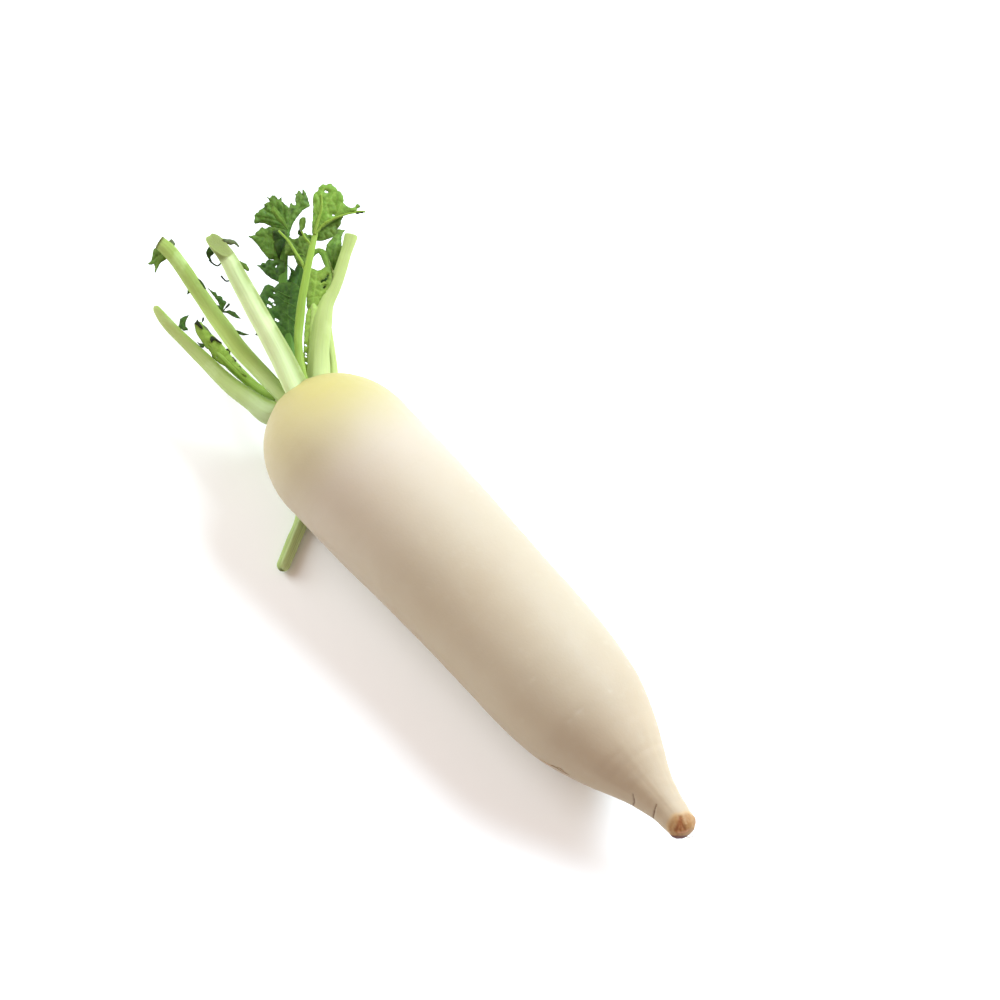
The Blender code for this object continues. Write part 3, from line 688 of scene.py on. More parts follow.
def skin_relief(station, turn, place, scar):
    """Height of the skin above the smooth form."""
    def lumps(height, size):
        return height * noise.noise(place / size)

    relief = lumps(*BROAD_LUMPS) + lumps(*SOFT_LUMPS)
    tail = smooth_step(*TAIL_RELIEF_START, station) * (1.0 - smooth_step(*TAIL_RELIEF_END, station))
    ring = noise.noise(around_root(station, turn, RING_SPACING, RING_TURNS))
    relief += (RING_HEIGHT + TAIL_RING_HEIGHT * tail) * ring
    relief += lumps(TAIL_LUMPS[0] * tail, TAIL_LUMPS[1])
    rib = noise.noise(around_root(station, turn, TAIL_RIB_LENGTH, TAIL_RIB_TURNS))
    relief += TAIL_RIB_HEIGHT * tail * rib
    rough = smooth_step(*ROUGH_START, station)
    relief += rough * (lumps(*ROUGH_LUMPS) + lumps(*ROUGH_GRAIN))
    return relief - SCAR_DEPTH * scar


def crown_folds(station, turn):
    """Shallow folds that run out from under the leaves over the shoulder."""
    reach = smooth_step(*FOLD_START, station) * (1.0 - smooth_step(*FOLD_END, station))
    fold = math.sin(FOLD_COUNT * turn + 1.5 * math.sin(2.0 * turn))
    return -FOLD_DEPTH * reach * (0.5 + 0.5 * fold)


def make_root():
    """The root's skin, with relief, scars, cracks and the rough, dented end."""
    draw = random.Random(5)
    scars = scar_rows(draw)
    scars += [(*on_root(pixel), length) for pixel, length in NICKS]
    cracks = [(lines_on_root([chain]), width) for chain, width in CRACKS]
    wedges, lip_line = lines_on_root(WEDGES), lines_on_root(HIGHLIGHT_PIXELS)
    tip_centre = axis_point(END_CENTRE)
    rings, marks = [], {}
    for station, radius, lean in root_rings():
        _, upwards, sideways = axis_frame(station)
        centre = axis_point(station) + sideways * lean
        ring = []
        for turn in turns(ROOT_SIDES):
            out = upwards * math.cos(turn) + sideways * math.sin(turn)
            place = centre + out * radius
            scar = near_scar(station, turn, radius, scars)
            crack = wedge = lip = 0.0
            if station > CRACKS_FROM:
                crack = max(near_line(place, line, width) for line, width in cracks)
            if station > END_FROM:
                wedge = near_line(place, wedges, WEDGE_WIDTH)
                lip = near_line(place, lip_line, HIGHLIGHT_WIDTH)
            height = skin_relief(station, turn, place, scar) + crown_folds(station, turn)
            height -= CRACK_DEPTH * crack + WEDGE_DEPTH * wedge
            tip = tip_share(station, turn)
            place = place + out * height * min(1.0, radius / 3.0)
            place.z = max(place.z, 0.0)
            ring.append(place)
            # Painted shade: the end's underside, as the picture sees it, turns deep brown
            low = smooth_step(*UNDERSIDE_SHADE_FADE, (tip_centre - place).dot(IMAGE_UP))
            note(marks, station=station, scar=scar, crack=crack, north=math.cos(turn),
                 east=math.sin(turn), tip=tip, wedge=wedge, under=tip * low, lip=lip)
        rings.append(ring)
    mesh = grid_mesh("root_skin", rings, marks)
    new_object("root_skin", mesh, skin_material(), "root_skin", "root")


def end_colour(tree, place):
    """Ochre of the dried end, with its specks, wedges, a pinkish painted highlight and painted
    shade in deep brown on its underside.
    """
    specks = cloud(tree, place, 900.0, 3.0, 0.6)
    patches = cloud(tree, place, 380.0, 2.0)
    colour = blend(tree, spread(tree, patches, 0.35, 0.65), TIP_OCHRE, TIP_TAN)
    colour = tinted(tree, colour, TIP_WEDGE, spread(tree, specks, 0.58, 0.72), 0.5)
    colour = tinted(tree, colour, TIP_WEDGE, value_of(tree, "wedge"), 0.9)
    # Painted highlight: a pinkish streak under the dent
    colour = tinted(tree, colour, TIP_PAINTED_HIGHLIGHT, value_of(tree, "lip"), 0.7)
    # Painted shade on the underside, in deep brown
    return blend(tree, value_of(tree, "under"), colour, TIP_UNDERSIDE_SHADE)


def skin_material():
    """Cream skin, yellow-green on the shoulder, with pale scars and an ochre end. Painted light
    makes the skin paler towards the crown and the shoulder's green stronger on its lit side; the
    warmer tail is partly painted shade and warm reflection.
    """
    material, tree, shader = new_material(
        "root_skin", roughness=0.6, glow=0.25, glow_radius=(1.0, 0.72, 0.45), shine=0.32)
    place = object_place(tree)
    station = value_of(tree, "station")
    broad = cloud(tree, place, 22.0, 2.0)
    fine = cloud(tree, place, 240.0, 3.0)
    colour = blend(tree, spread(tree, broad, 0.35, 0.70), SKIN_CREAM, SKIN_WARM)
    # Painted light: paler skin towards the crown; the warmer tail is partly painted shade and warm
    # reflection
    painted_light_upper = inverse(tree, spread(tree, station, *UPPER_FADE))
    colour = tinted(tree, colour, SKIN_UPPER_PAINTED_LIGHT, painted_light_upper, 0.85)
    colour = tinted(tree, colour, SKIN_TAIL, spread(tree, station, *TAIL_FADE), 0.8)
    colour = tinted(tree, colour, SKIN_PALE, spread(tree, fine, 0.52, 0.78), 0.22)
    wander = product(tree, number(tree, "SUBTRACT", broad, 0.5), GREEN_WANDER)
    greened = total(tree, station, wander)
    shoulder = inverse(tree, spread(tree, greened, *GREEN_FADE))
    # Painted light: the shoulder's yellow-green is strongest on the side that faces the key light
    # and fades on the shaded side
    facing_light = total(tree, value_of(tree, "north"), product(tree, value_of(tree, "east"), 0.55))
    side = total(tree, product(tree, facing_light, 0.42), 0.50)
    colour = tinted(tree, colour, SKIN_GREEN, shoulder, side)
    collar = inverse(tree, spread(tree, greened, *COLLAR_FADE))
    colour = tinted(tree, colour, SKIN_GREEN_DEEP, collar, 0.6)
    rings = cloud(tree, stretched(tree, station, 0.42, 1.6), 1.0, 3.0)
    colour = tinted(tree, colour, SKIN_WARM, spread(tree, rings, 0.55, 0.8), 0.12)
    colour = tinted(tree, colour, SKIN_PALE, value_of(tree, "scar"), 0.70)
    tip = value_of(tree, "tip")
    colour = blend(tree, spread(tree, tip, 0.0, 0.55), colour, TIP_RIM)
    colour = blend(tree, spread(tree, tip, 0.35, 1.0), colour, end_colour(tree, place))
    colour = tinted(tree, colour, CRACK_BROWN, value_of(tree, "crack"), 0.85)
    tree.links.new(colour, shader.inputs["Base Color"])
    tree.links.new(scaled(tree, fine, 0.3, 0.7, 0.54, 0.68), shader.inputs["Roughness"])
    pores = cloud(tree, place, 900.0, 4.0, 0.6)
    height = total(tree, pores, product(tree, rings, 0.8))
    tree.links.new(bump(tree, height, 0.16, 0.0004), shader.inputs["Normal"])
    return material


# Leaf stalks


def stalk_section(turn, width, depth):
    """One point of a stalk's D-shaped section: across, towards the back."""
    across = 0.5 * width * math.cos(turn)
    towards = math.sin(turn)
    if towards > 0.0:
        return across, depth * (1.0 - INNER_SHARE) * towards - depth * (0.5 - INNER_SHARE)
    groove = GROOVE_DEPTH * depth * math.exp(-((across / (GROOVE_WIDTH * width)) ** 2))
    return across, depth * INNER_SHARE * towards + groove - depth * (0.5 - INNER_SHARE)


# Heights of a stalk's ribs, fine lines and soft lumps, and how many ribs go round it
STALK_RIB = 0.07
STALK_LINE = 0.05
STALK_LUMP = 0.22
STALK_RIBS = 13.0


def stalk_relief(along, turn, seed):
    """Ribs and soft lumps along a stalk."""
    north, east = math.cos(turn), math.sin(turn)
    ribs = STALK_RIB * math.cos(STALK_RIBS * turn + 0.6 * math.sin(along / 17.0 + seed))
    fine = STALK_LINE * noise.noise(Vector((along / 22.0, 9.0 * north, 9.0 * east + seed)))
    lumps = STALK_LUMP * noise.noise(Vector((along / 13.0, 1.2 * north + seed, 1.2 * east)))
    return ribs + fine + lumps


# Rings of a cut face, from its rim inwards: share of the size, how far sunk, share of rim colour
CUT_RINGS = [
    (0.97, 0.02, 1.0), (0.90, 0.22, 0.7), (0.80, 0.12, 0.2), (0.60, 0.20, 0.0), (0.40, 0.42, 0.0),
    (0.20, 0.55, 0.0), (0.06, 0.60, 0.0),
]
# How round a stalk's rounded end and its cut end's edge are
ROUND_END = 0.96
CUT_END = 0.10
# How far back from the end a slant of the cut is felt, as a share of the slant
SLANT_REACH = 4.0
# Edge of an end's darker top, partly a cut face's own colour and partly painted shade, along the
# stalk and round it, and of the stalk's grooved inner side
DARK_END_EDGE = (-0.4, 0.4)
DARK_END_SIDE = (-0.3, 0.1)
INNER_SIDE = (0.05, 0.55)


def make_stalk(leaf, stalk, material, seed):
    """A fine leaf stalk with ribs, a flared foot and a cut or rounded end."""
    places = [crown_point(row[:3]) for row in stalk.path]
    knots = lengths_along(places)
    rows = [(*place, *row[3:]) for place, row in zip(places, stalk.path)]
    length, ease = knots[-1], stalk.round_off
    stations = evenly(0.0, length - ease, STALK_STEP)
    for i in range(1, STALK_END_STEPS + 1):
        stations.append(length - ease * (1.0 - math.sin(0.5 * math.pi * i / STALK_END_STEPS)))
    samples = [through(knots, rows, station) for station in stations]
    centres = [sample.to_3d() for sample in samples]
    frames = transported_frames(centres, crown_direction(stalk.back))
    slant_reach = SLANT_REACH * abs(stalk.slant) + ease
    rings, marks = [], {}

    def add_ring(station, sample, centre, frame_here, scale, cut=0.0, sunk=0.0, rim=0.0):
        along, back, across = frame_here
        width, depth = sample[3], sample[4]
        near_end = max(0.0, 1.0 - (length - station) / slant_reach)
        ring = []
        for turn in turns(STALK_SIDES):
            x, y = stalk_section(turn, width, depth)
            grow = scale * (1.0 + stalk_relief(station, turn, seed) / (0.25 * (width + depth)))
            shear = -stalk.slant * near_end * y * scale / (0.5 * depth)
            dried = cut
            # A darker top on the end: partly a cut face's own colour, partly painted shade
            if stalk.dried and not cut:
                beyond = station + shear - (length - stalk.slant)
                dried = smooth_step(*DARK_END_EDGE, beyond) * smooth_step(*DARK_END_SIDE, math.sin(turn))
            ring.append(centre + (across * x + back * y) * grow + along * (shear - sunk))
            inner = smooth_step(*INNER_SIDE, -math.sin(turn))
            note(marks, along=station, north=math.cos(turn), east=math.sin(turn), cut=dried,
                 inner=inner, rim=rim)
        rings.append(ring)

    full_round = ROUND_END if stalk.end == "round" else CUT_END
    for station, sample, centre, frame_here in zip(stations, samples, centres, frames):
        inside_end = 1.0 - min((length - station) / ease, 1.0)
        scale = math.sqrt(1.0 - full_round * inside_end**2)
        rim = smooth_step(length - stalk.rim, length - 0.2, station)
        add_ring(station, sample, centre, frame_here, scale, rim=rim)
    if stalk.end == "cut":
        last = (stations[-1], samples[-1], centres[-1], frames[-1])
        edge = math.sqrt(1.0 - full_round)
        for share, sunk, rim in CUT_RINGS:
            add_ring(*last, edge * share, 1.0, sunk, rim)
    name = leaf + "_stalk"
    new_object(name, grid_mesh(name, rings, marks), material, SLOTS[leaf], leaf)


SLOTS = {leaf: leaf.replace("leaf", "stalk") for leaf in STALKS}
SLOTS |= {"leaf_sprig": "leaf_bright", "leaf_frond": "leaf_dark"}

# Colours at a stalk's foot, middle and end, of its cut, the cut's rim and its inner side
STALK_COLOURS = {
    "leaf_low": (
        (0.425, 0.545, 0.278), (0.392, 0.515, 0.184), (0.345, 0.42, 0.136), (0.27, 0.345, 0.096),
        (0.14, 0.172, 0.046), (0.271, 0.419, 0.064),
    ),
    "leaf_torn": (
        (0.302, 0.446, 0.108), (0.2, 0.317, 0.047), (0.154, 0.246, 0.032), (0.112, 0.16, 0.032),
        (0.056, 0.073, 0.0173), (0.208, 0.317, 0.041),
    ),
    "leaf_blunt": (
        (0.475, 0.64, 0.28), (0.425, 0.59, 0.165), (0.3, 0.4, 0.103), (0.31, 0.365, 0.09),
        (0.052, 0.04, 0.0115), (0.322, 0.451, 0.098),
    ),
    # leaf_pale's cut colour also lies over the darker top of its end: partly a cut face, partly
    # painted shade
    "leaf_pale": (
        (0.58, 0.71, 0.365), (0.58, 0.705, 0.36), (0.52, 0.65, 0.31), (0.207, 0.252, 0.08),
        (0.24, 0.29, 0.095), (0.59, 0.72, 0.37),
    ),
    "leaf_sprig": (
        (0.225, 0.33, 0.055), (0.2, 0.305, 0.042), (0.225, 0.345, 0.048), (0.204, 0.277, 0.044),
        (0.136, 0.181, 0.029), (0.21, 0.32, 0.045),
    ),
    "leaf_thick": (
        (0.385, 0.46, 0.175), (0.35, 0.422, 0.142), (0.35, 0.425, 0.136), (0.418, 0.484, 0.188),
        (0.26, 0.31, 0.099), (0.397, 0.478, 0.154),
    ),
    "leaf_narrow": (
        (0.389, 0.471, 0.149), (0.36, 0.437, 0.134), (0.332, 0.402, 0.109), (0.245, 0.291, 0.079),
        (0.144, 0.181, 0.04), (0.36, 0.437, 0.134),
    ),
    "leaf_frond": (
        (0.066, 0.14, 0.022), (0.055, 0.125, 0.018), (0.058, 0.13, 0.018), (0.067, 0.137, 0.02),
        (0.04, 0.076, 0.0121), (0.08, 0.182, 0.02),
    ),
    "leaf_folded": (
        (0.3, 0.4, 0.13), (0.285, 0.375, 0.126), (0.29, 0.385, 0.13), (0.26, 0.32, 0.115),
        (0.123, 0.155, 0.039), (0.259, 0.363, 0.104),
    ),
}

# Stalks with one flank of another colour, painted shade on most and painted light on the folded
# stalk, which lies in the root's shadow: its angle on the section in degrees, strength, colour
STALK_PAINTED_FLANKS = {
    "leaf_pale": (10.0, 0.95, (0.214, 0.271, 0.072)),
    "leaf_blunt": (325.0, 0.4, (0.157, 0.227, 0.033)),
    "leaf_low": (300.0, 0.12, (0.145, 0.198, 0.037)),
    "leaf_folded": (278.0, 1.0, (0.560, 0.720, 0.340)),
    "leaf_thick": (270.0, 0.6, (0.240, 0.350, 0.086)),
}
FLANK_FADE = (-0.15, 0.75)
# How far up a stalk its foot's colour starts to change
FOOT_LENGTH = 8.0


def flank_share(tree, angle):
    """1 on the flank of a stalk at an angle in degrees, 0 on the others."""
    turn = math.radians(angle)
    across = product(tree, value_of(tree, "north"), math.cos(turn))
    towards = product(tree, value_of(tree, "east"), math.sin(turn))
    return spread(tree, total(tree, across, towards), *FLANK_FADE)


def stalk_material(name, length):
    """Green stalk: paler foot, darker fine lines along it, a matte cut end."""
    foot, middle, end, cut_colour, rim_colour, inner_colour = STALK_COLOURS[name]
    material, tree, shader = new_material(
        name + "_stalk", roughness=0.6, glow=0.20, glow_radius=(0.7, 1.0, 0.3), shine=0.12)
    along = value_of(tree, "along")
    place = object_place(tree)
    colour = blend(tree, spread(tree, along, FOOT_LENGTH, 0.36 * length), foot, middle)
    colour = blend(tree, spread(tree, along, 0.42 * length, 0.85 * length), colour, end)
    colour = tinted(tree, colour, inner_colour, value_of(tree, "inner"), 0.7)
    # Painted shade on one flank; on the folded stalk, painted light against the root's shadow
    if name in STALK_PAINTED_FLANKS:
        angle, strength, tint = STALK_PAINTED_FLANKS[name]
        colour = tinted(tree, colour, tint, flank_share(tree, angle), strength)
    lines = cloud(tree, stretched(tree, along, 0.035, 7.3), 1.0, 3.0, 0.6)
    darker = tuple(0.66 * channel for channel in middle)
    colour = tinted(tree, colour, darker, spread(tree, lines, 0.46, 0.76), 0.36)
    lighter = tuple(min(1.0, 1.20 * channel + 0.03) for channel in foot)
    blotch = cloud(tree, place, 90.0, 3.0)
    colour = tinted(tree, colour, lighter, spread(tree, blotch, 0.5, 0.75), 0.30)
    colour = blend(tree, value_of(tree, "cut"), colour, cut_colour)
    ragged = spread(tree, cloud(tree, place, 300.0), 0.25, 0.6)
    colour = tinted(tree, colour, rim_colour, value_of(tree, "rim"), ragged)
    tree.links.new(colour, shader.inputs["Base Color"])
    matte = scaled(tree, value_of(tree, "cut"), 0.0, 1.0, 0.6, 0.75)
    tree.links.new(matte, shader.inputs["Roughness"])
    pith = cloud(tree, place, 1500.0, 2.0)
    height = total(tree, lines, product(tree, pith, 0.3))
    tree.links.new(bump(tree, height, 0.35, 0.0003), shader.inputs["Normal"])
    return material


# What a tube's material reads: beyond a stalk's colours, and a vein's colour on a blade
TUBE_MARKS = {
    "along": 60.0, "cut": 0.0, "inner": 0.0, "rim": 0.0, "vein": 1.0, "margin": 0.0, "hollow": 0.0,
}


def make_tube(name, places, radii, material, slot, node=None, sides=TUBE_SIDES):
    """A slender closed tube through some points, with its radius spread along it."""
    knots = lengths_along(places)
    count = max(round(knots[-1] / TUBE_STEP), 8)
    centres = [through(knots, places, knots[-1] * i / count) for i in range(count + 1)]
    frames = transported_frames(centres, crown_direction(UPWARD))
    shares = [i / (len(radii) - 1) for i in range(len(radii))]
    rings, marks = [], {}
    for i, (centre, (_, back, across)) in enumerate(zip(centres, frames)):
        here = through(shares, radii, i / count)[0] * (1.0 + 0.07 * math.sin(2.1 * i))
        ring = []
        for turn in turns(sides):
            ring.append(centre + (across * math.cos(turn) + back * math.sin(turn)) * here)
            note(marks, north=math.cos(turn), east=math.sin(turn), **TUBE_MARKS)
        rings.append(ring)
    new_object(name, grid_mesh(name, rings, marks), material, slot, node)


def make_stalks():
    """All stalks and their side stalks; returns the materials by leaf."""
    materials = {}
    for seed, (leaf, stalk) in enumerate(STALKS.items()):
        length = lengths_along([crown_point(row[:3]) for row in stalk.path])[-1]
        materials[leaf] = stalk_material(leaf, length)
        make_stalk(leaf, stalk, materials[leaf], 3.7 * seed)
        for i, (points, radius) in enumerate(VEINS.get(leaf, [])):
            places = [crown_point(row) for row in points]
            radii = [share * radius for share in VEIN_TAPER]
            make_tube(f"{leaf}_vein_{i}", places, radii, materials[leaf], SLOTS[leaf], leaf)
    return materials


# Leaf blades and torn scraps. The first word of a name is the leaf that carries the piece.
# Pixels of the photograph come in flat runs: x, y, x, y. A blade lies on a plane that faces the
# camera and runs through two points of the crown's frame, base and tip, which are on its stalk.
# Rise lifts the plane. The shape is cup, which bends the sides, dome, which bulges the middle,
# scallop, the depth of small teeth, and crinkle. A hole is x, y and reach. Ribs are raised
# veins with a radius.
Blade = namedtuple("Blade", "colour base tip rise shape outline veins holes ribs",
                   defaults=((), (), ()))
BLADES = {
    "sprig_top": Blade(
        "bright", (45.1, 15.9, 58.2), (56.8, 26.8, 75.2), 0.2, (0.5, 0.4, 0.2, 0.3),
        [314.5, 237, 312, 233, 312.3, 224.6, 312.9, 215.7, 313.2, 206.8, 312.7, 202.3,
         313.2, 197.5, 313.9, 194, 315.2, 192.1, 318.3, 191.2, 318.1, 187.7, 320.9, 185.7,
         323.4, 183.8, 326, 185.1, 328.5, 183.6, 331.4, 183.8, 333, 186.1, 336.2, 188,
         337.5, 190.5, 340.7, 192.1, 342.6, 195.3, 343.7, 199.1, 343.6, 202.8, 346, 205,
         348.5, 207, 352, 208, 355, 207, 356, 204.6, 358, 203.2, 360.7, 207, 357, 208.7,
         356.5, 210.5, 353.5, 212, 348, 214, 343.5, 216, 336, 219.5, 328, 224, 321.5, 229],
        [[326.5, 206, 327.3, 198, 331.1, 199.8, 334.9, 203.6], [324, 208, 330, 200, 335, 192],
         [321.8, 203, 318, 197, 316.5, 194], [319, 220, 315.5, 210, 314.5, 203],
         [334, 218, 339, 210, 342, 203], [327, 221.5, 329, 213, 327, 206], [335, 205, 337, 212],
         [321.5, 195, 324, 188]],
        holes=[(326.4, 191.9, 1.5), (333.4, 215.4, 1.0)],
        ribs=[([314.8, 234, 315.6, 230, 318.3, 221, 321.3, 212, 322.2, 202.3, 321.5, 194.5], 0.62),
              ([315.2, 234.5, 317, 231.5, 321, 226.6, 326.6, 222.1, 334.3, 218.3, 340.7, 216,
                349, 213.6, 356, 212.6], 0.55)]
    ),
    "sprig_under": Blade(
        "mid", (45.3, 16.1, 59.0), (42.9, 19.0, 74.6), -0.9, (-0.8, 0.5, 0.24, 0.35),
        [315.5, 234, 321, 227, 328.5, 222, 336, 217.5, 343.5, 214.5, 342.9, 218.3, 340.7, 221,
         340.7, 224.6, 338.1, 227.8, 336.8, 232.4, 333, 236.6, 327.9, 238.7, 321.5, 240.9,
         317.2, 241.2, 315.5, 238],
        [[317, 234, 326, 231, 336, 226], [322, 232, 326, 238], [328, 230, 333, 235]]
    ),
    "sprig_leaflet": Blade(
        "mid", (49.4, 19.8, 53.8), (55.2, 24.2, 58.0), 0.1, (0.4, 0.3, 0.08, 0.15),
        [299.5, 230, 299, 223, 299.3, 219.5, 302, 217, 305.6, 217.2, 306, 221.5, 305, 227.5,
         303.2, 230, 301.3, 231],
        [[300.8, 230, 302, 224, 303, 218]]
    ),
    "sprig_bud": Blade(
        "dark", (49.4, 19.8, 53.8), (55.2, 24.2, 58.0), -0.4, (0.2, 0.2, 0.08, 0.1),
        [300.5, 236, 297.6, 234, 297.9, 230.4, 299.3, 229.6, 301, 232, 303, 235.5]
    ),
    "frond_left": Blade(
        "fresh", (65.0, -5.0, 59.0), (79.5, 2.0, 56.5), 0.4, (1.0, 0.5, 0.26, 0.4),
        [288.6, 231, 280.7, 231, 275.6, 229.1, 270.5, 226.6, 267.3, 224.8, 264.8, 223.6,
         259.7, 222.7, 254.6, 223.9, 253.6, 221.5, 254.6, 218.3, 254.2, 214.8, 255.8, 213.2,
         258.1, 212.4, 259.3, 210, 261.9, 208.9, 264.3, 206.8, 264.3, 204.2, 266.7, 202.6,
         269.6, 201.2, 268.3, 198.8, 266.5, 196.5, 269.6, 198, 272.4, 195.6, 274.7, 195,
         276.6, 196.9, 278.2, 199.4, 279.2, 199.2, 280.4, 197.2, 281.7, 196.5, 281.7, 201,
         283.3, 202.1, 284.9, 204.4, 287.1, 206, 288.6, 207.6, 288.6, 219],
        [[287.5, 230, 279, 219, 270, 207, 267, 198], [282, 223, 270, 219, 256, 217],
         [279, 219, 268, 212, 262, 209.5], [284, 225, 283.5, 212, 281.5, 200],
         [276, 215, 277, 205, 275, 197], [283, 227, 274, 225, 263, 221.5]]
    ),
    "frond_fold": Blade(
        "fold", (64.5, -4.5, 58.0), (75.5, 6.5, 57.0), 1.1, (0.3, 0.8, 0.06, 0.15),
        [288, 230.5, 283.3, 225.4, 279.4, 222.4, 276.3, 219.5, 274.3, 215.7, 272.4, 212.8,
         270.2, 211.3, 271.8, 207.4, 273.7, 205.5, 276.9, 209.3, 280.7, 214.4, 283.9, 218.3,
         286, 223.4, 287.6, 227.2],
        [[287, 228.5, 280, 218, 272.5, 209]]
    ),
    "frond_right": Blade(
        "fresh", (64.5, -5.5, 58.0), (73.0, -0.5, 76.0), 0.2, (-1.0, 0.4, 0.18, 0.45),
        [286, 232, 286.3, 222, 287.5, 214, 289, 208.7, 289.8, 204.9, 291.2, 201.6, 292.8, 204.6,
         295.4, 205.5, 296, 203.6, 295.2, 199.8, 295.7, 195.9, 294.9, 193.7, 297.3, 193.2,
         298.9, 189.8, 300.2, 191.5, 302.1, 194.6, 302.6, 192.1, 302.3, 188.4, 304, 190.3,
         306.2, 194, 308.1, 199.1, 309.1, 203.6, 309.9, 206.1, 306.2, 208.1, 302.4, 210.6,
         298.6, 215.1, 294.7, 220.8, 292.2, 225.6, 290.4, 231, 289.6, 236.5, 286.5, 236],
        [[288, 232, 293, 218, 299, 206, 302, 196], [291, 222, 290, 212, 291.2, 204],
         [296, 212, 303, 207, 309, 205.5], [299, 206, 297.5, 199, 296.5, 195]]
    ),
    "frond_wide": Blade(
        "fresh", (57.5, -5.0, 50.0), (72.0, -1.0, 41.5), 0.1, (0.9, 0.6, 0.22, 0.38),
        [287, 236, 286.4, 243.8, 283, 250, 280.5, 256, 279.5, 261, 276.3, 263.2, 275, 261.8,
         273.1, 259.4, 268.6, 259.1, 266, 255.9, 262.9, 252.1, 259.7, 247.6, 255.8, 243.1,
         252.7, 239.5, 247.6, 236, 252, 235.5, 254.9, 234.4, 255.5, 232.3, 258.1, 231.2,
         260, 228.8, 262.2, 226.4, 264.1, 228.4, 266, 228.8, 268.9, 226.7, 271.8, 227.2,
         276.9, 228.2, 283.3, 229.6, 287.5, 232],
        [[285, 240, 272, 238, 260, 237, 250, 236], [270, 238, 264, 232, 261.5, 228],
         [266, 238, 262, 244], [276, 236, 271, 229]],
        holes=[(274.6, 260.6, 0.8)],
        ribs=[([276, 239, 272.2, 243.5, 273.1, 253, 271.8, 258], 0.35)]
    ),
    "frond_shade": Blade(
        "dark", (57.5, -5.0, 50.0), (66.5, -1.5, 46.5), 1.0, (0.4, 0.6, 0.12, 0.3),
        [287, 237, 284.5, 244, 281, 252, 279.6, 260, 277, 256, 274.8, 247, 273.3, 238, 272.8, 231,
         278.2, 229.5, 284, 231.5],
        [[285.5, 237, 279, 240, 275, 244]]
    ),
    "frond_spur": Blade(
        "deep", (47.5, -4.5, 40.5), (61.0, -6.5, 35.5), 0.2, (-0.8, 0.4, 0.2, 0.45),
        [284, 284, 275.6, 280.5, 270.5, 277.8, 266, 274.4, 262.9, 270.8, 259.7, 267.6,
         255.6, 264.8, 260, 265.3, 262.9, 262.7, 265.4, 263.4, 267, 260.5, 269.2, 259.2,
         273.1, 260.4, 278.2, 259, 283.5, 261, 285.5, 268],
        [[282, 279, 272, 271, 258, 266], [276, 274, 272, 265, 270, 261]],
        holes=[(276.2, 266.5, 1.0)]
    ),
    "frond_inner": Blade(
        "mid", (42.5, -4.0, 37.0), (55.0, 3.0, 59.0), -0.4, (0.8, 0.5, 0.2, 0.45),
        [285, 255, 285, 247, 287, 240, 289, 236.8, 291.6, 238.9, 294.7, 239.3, 298.6, 237.4,
         300, 234.5, 302.4, 234.4, 305, 232.7, 307.5, 234.9, 311.3, 234.6, 313, 240, 311.5, 254,
         310, 266, 306, 270, 300.8, 266, 297.6, 264.8, 296, 261.2, 293.7, 256, 289.6, 256.2],
        [[306, 262, 302, 248, 299, 239], [304, 252, 295, 246, 289, 240], [303, 248, 309, 239]]
    ),
    "frond_heart": Blade(
        "deep", (34.5, -4.5, 30.5), (47.0, -7.5, 46.5), -0.8, (0.9, 0.6, 0.2, 0.36),
        [284, 286, 288.5, 280, 290.9, 273, 290.2, 270.2, 287.9, 266.2, 291.6, 269.2, 294.7, 270.8,
         296.5, 267, 298.5, 263.5, 303.5, 267, 308, 268, 307, 290, 303, 314, 294, 320, 284, 308],
        [[288, 305, 296, 288, 301, 270], [292, 296, 300, 292, 305, 286]]
    ),
    "frond_low": Blade(
        "deep", (17.0, -3.5, 18.0), (47.5, -1.5, 27.5), 0.3, (0.7, 0.5, 0.24, 0.22),
        [284, 283, 278, 284, 274.5, 287.5, 271.5, 285.5, 268, 284.5, 264.5, 286.5, 261.5, 293.5,
         259.5, 296.5, 260.5, 303, 264, 311, 267, 319, 272, 330, 278.5, 340, 287, 350, 293, 359,
         298, 354, 297, 340, 298, 323.5, 300, 306.5, 303, 290, 294, 283],
        [[291, 350, 289, 330, 288, 310, 290, 296], [289, 325, 282, 318, 277, 310],
         [290, 336, 283, 328, 278, 326]],
        holes=[(271.2, 300.4, 2.5), (269.4, 306.6, 2.0), (274.2, 304.8, 1.3), (277, 320.5, 1.9),
               (288.2, 338.2, 2.3), (274.3, 293.2, 0.8)],
        ribs=[([291, 298.5, 286, 296, 281, 293.5, 275, 290.5, 271, 288], 0.34),
              ([296, 307.5, 291, 305, 284, 301.5, 276, 295.5], 0.26),
              ([295, 322, 289, 317, 285.5, 312.5], 0.26)]
    ),
    "thick_back": Blade(
        "mid", (24.0, -2.5, 46.5), (45.0, -4.5, 75.0), -0.4, (0.5, 0.4, 0.16, 0.35),
        [338.1, 229.1, 345.2, 230.8, 343.2, 232.9, 341.5, 237.4, 341.5, 246, 342, 254, 339, 262,
         334.5, 272, 330, 282, 324, 285, 324.6, 276, 325, 268, 326.2, 258.4, 325.5, 251.5,
         326.6, 245.5, 329.8, 241.2, 333, 237.4, 336.8, 232.7],
        [[330, 274, 334, 254, 339, 236], [332, 260, 329, 250], [335, 249, 339.5, 241]]
    ),
    "thick_arch": Blade(
        "fold", (31.0, -1.5, 58.0), (46.5, -2.5, 61.0), 0.5, (0.1, 0.5, 0.08, 0.15),
        [311.5, 257, 311.8, 252.5, 315, 249.8, 319, 248.8, 323, 249.1, 326, 251.2, 328.2, 256,
         329.4, 262, 331.5, 269.5, 334, 276, 331, 279, 328, 273, 325.6, 267.5, 323.2, 262,
         321, 256, 318.6, 253.3, 316, 254.3, 313.5, 257.5],
        [[313, 253.5, 319, 250.8, 324.5, 253.5, 327.5, 262, 331, 274]]
    ),
    "thick_patch": Blade(
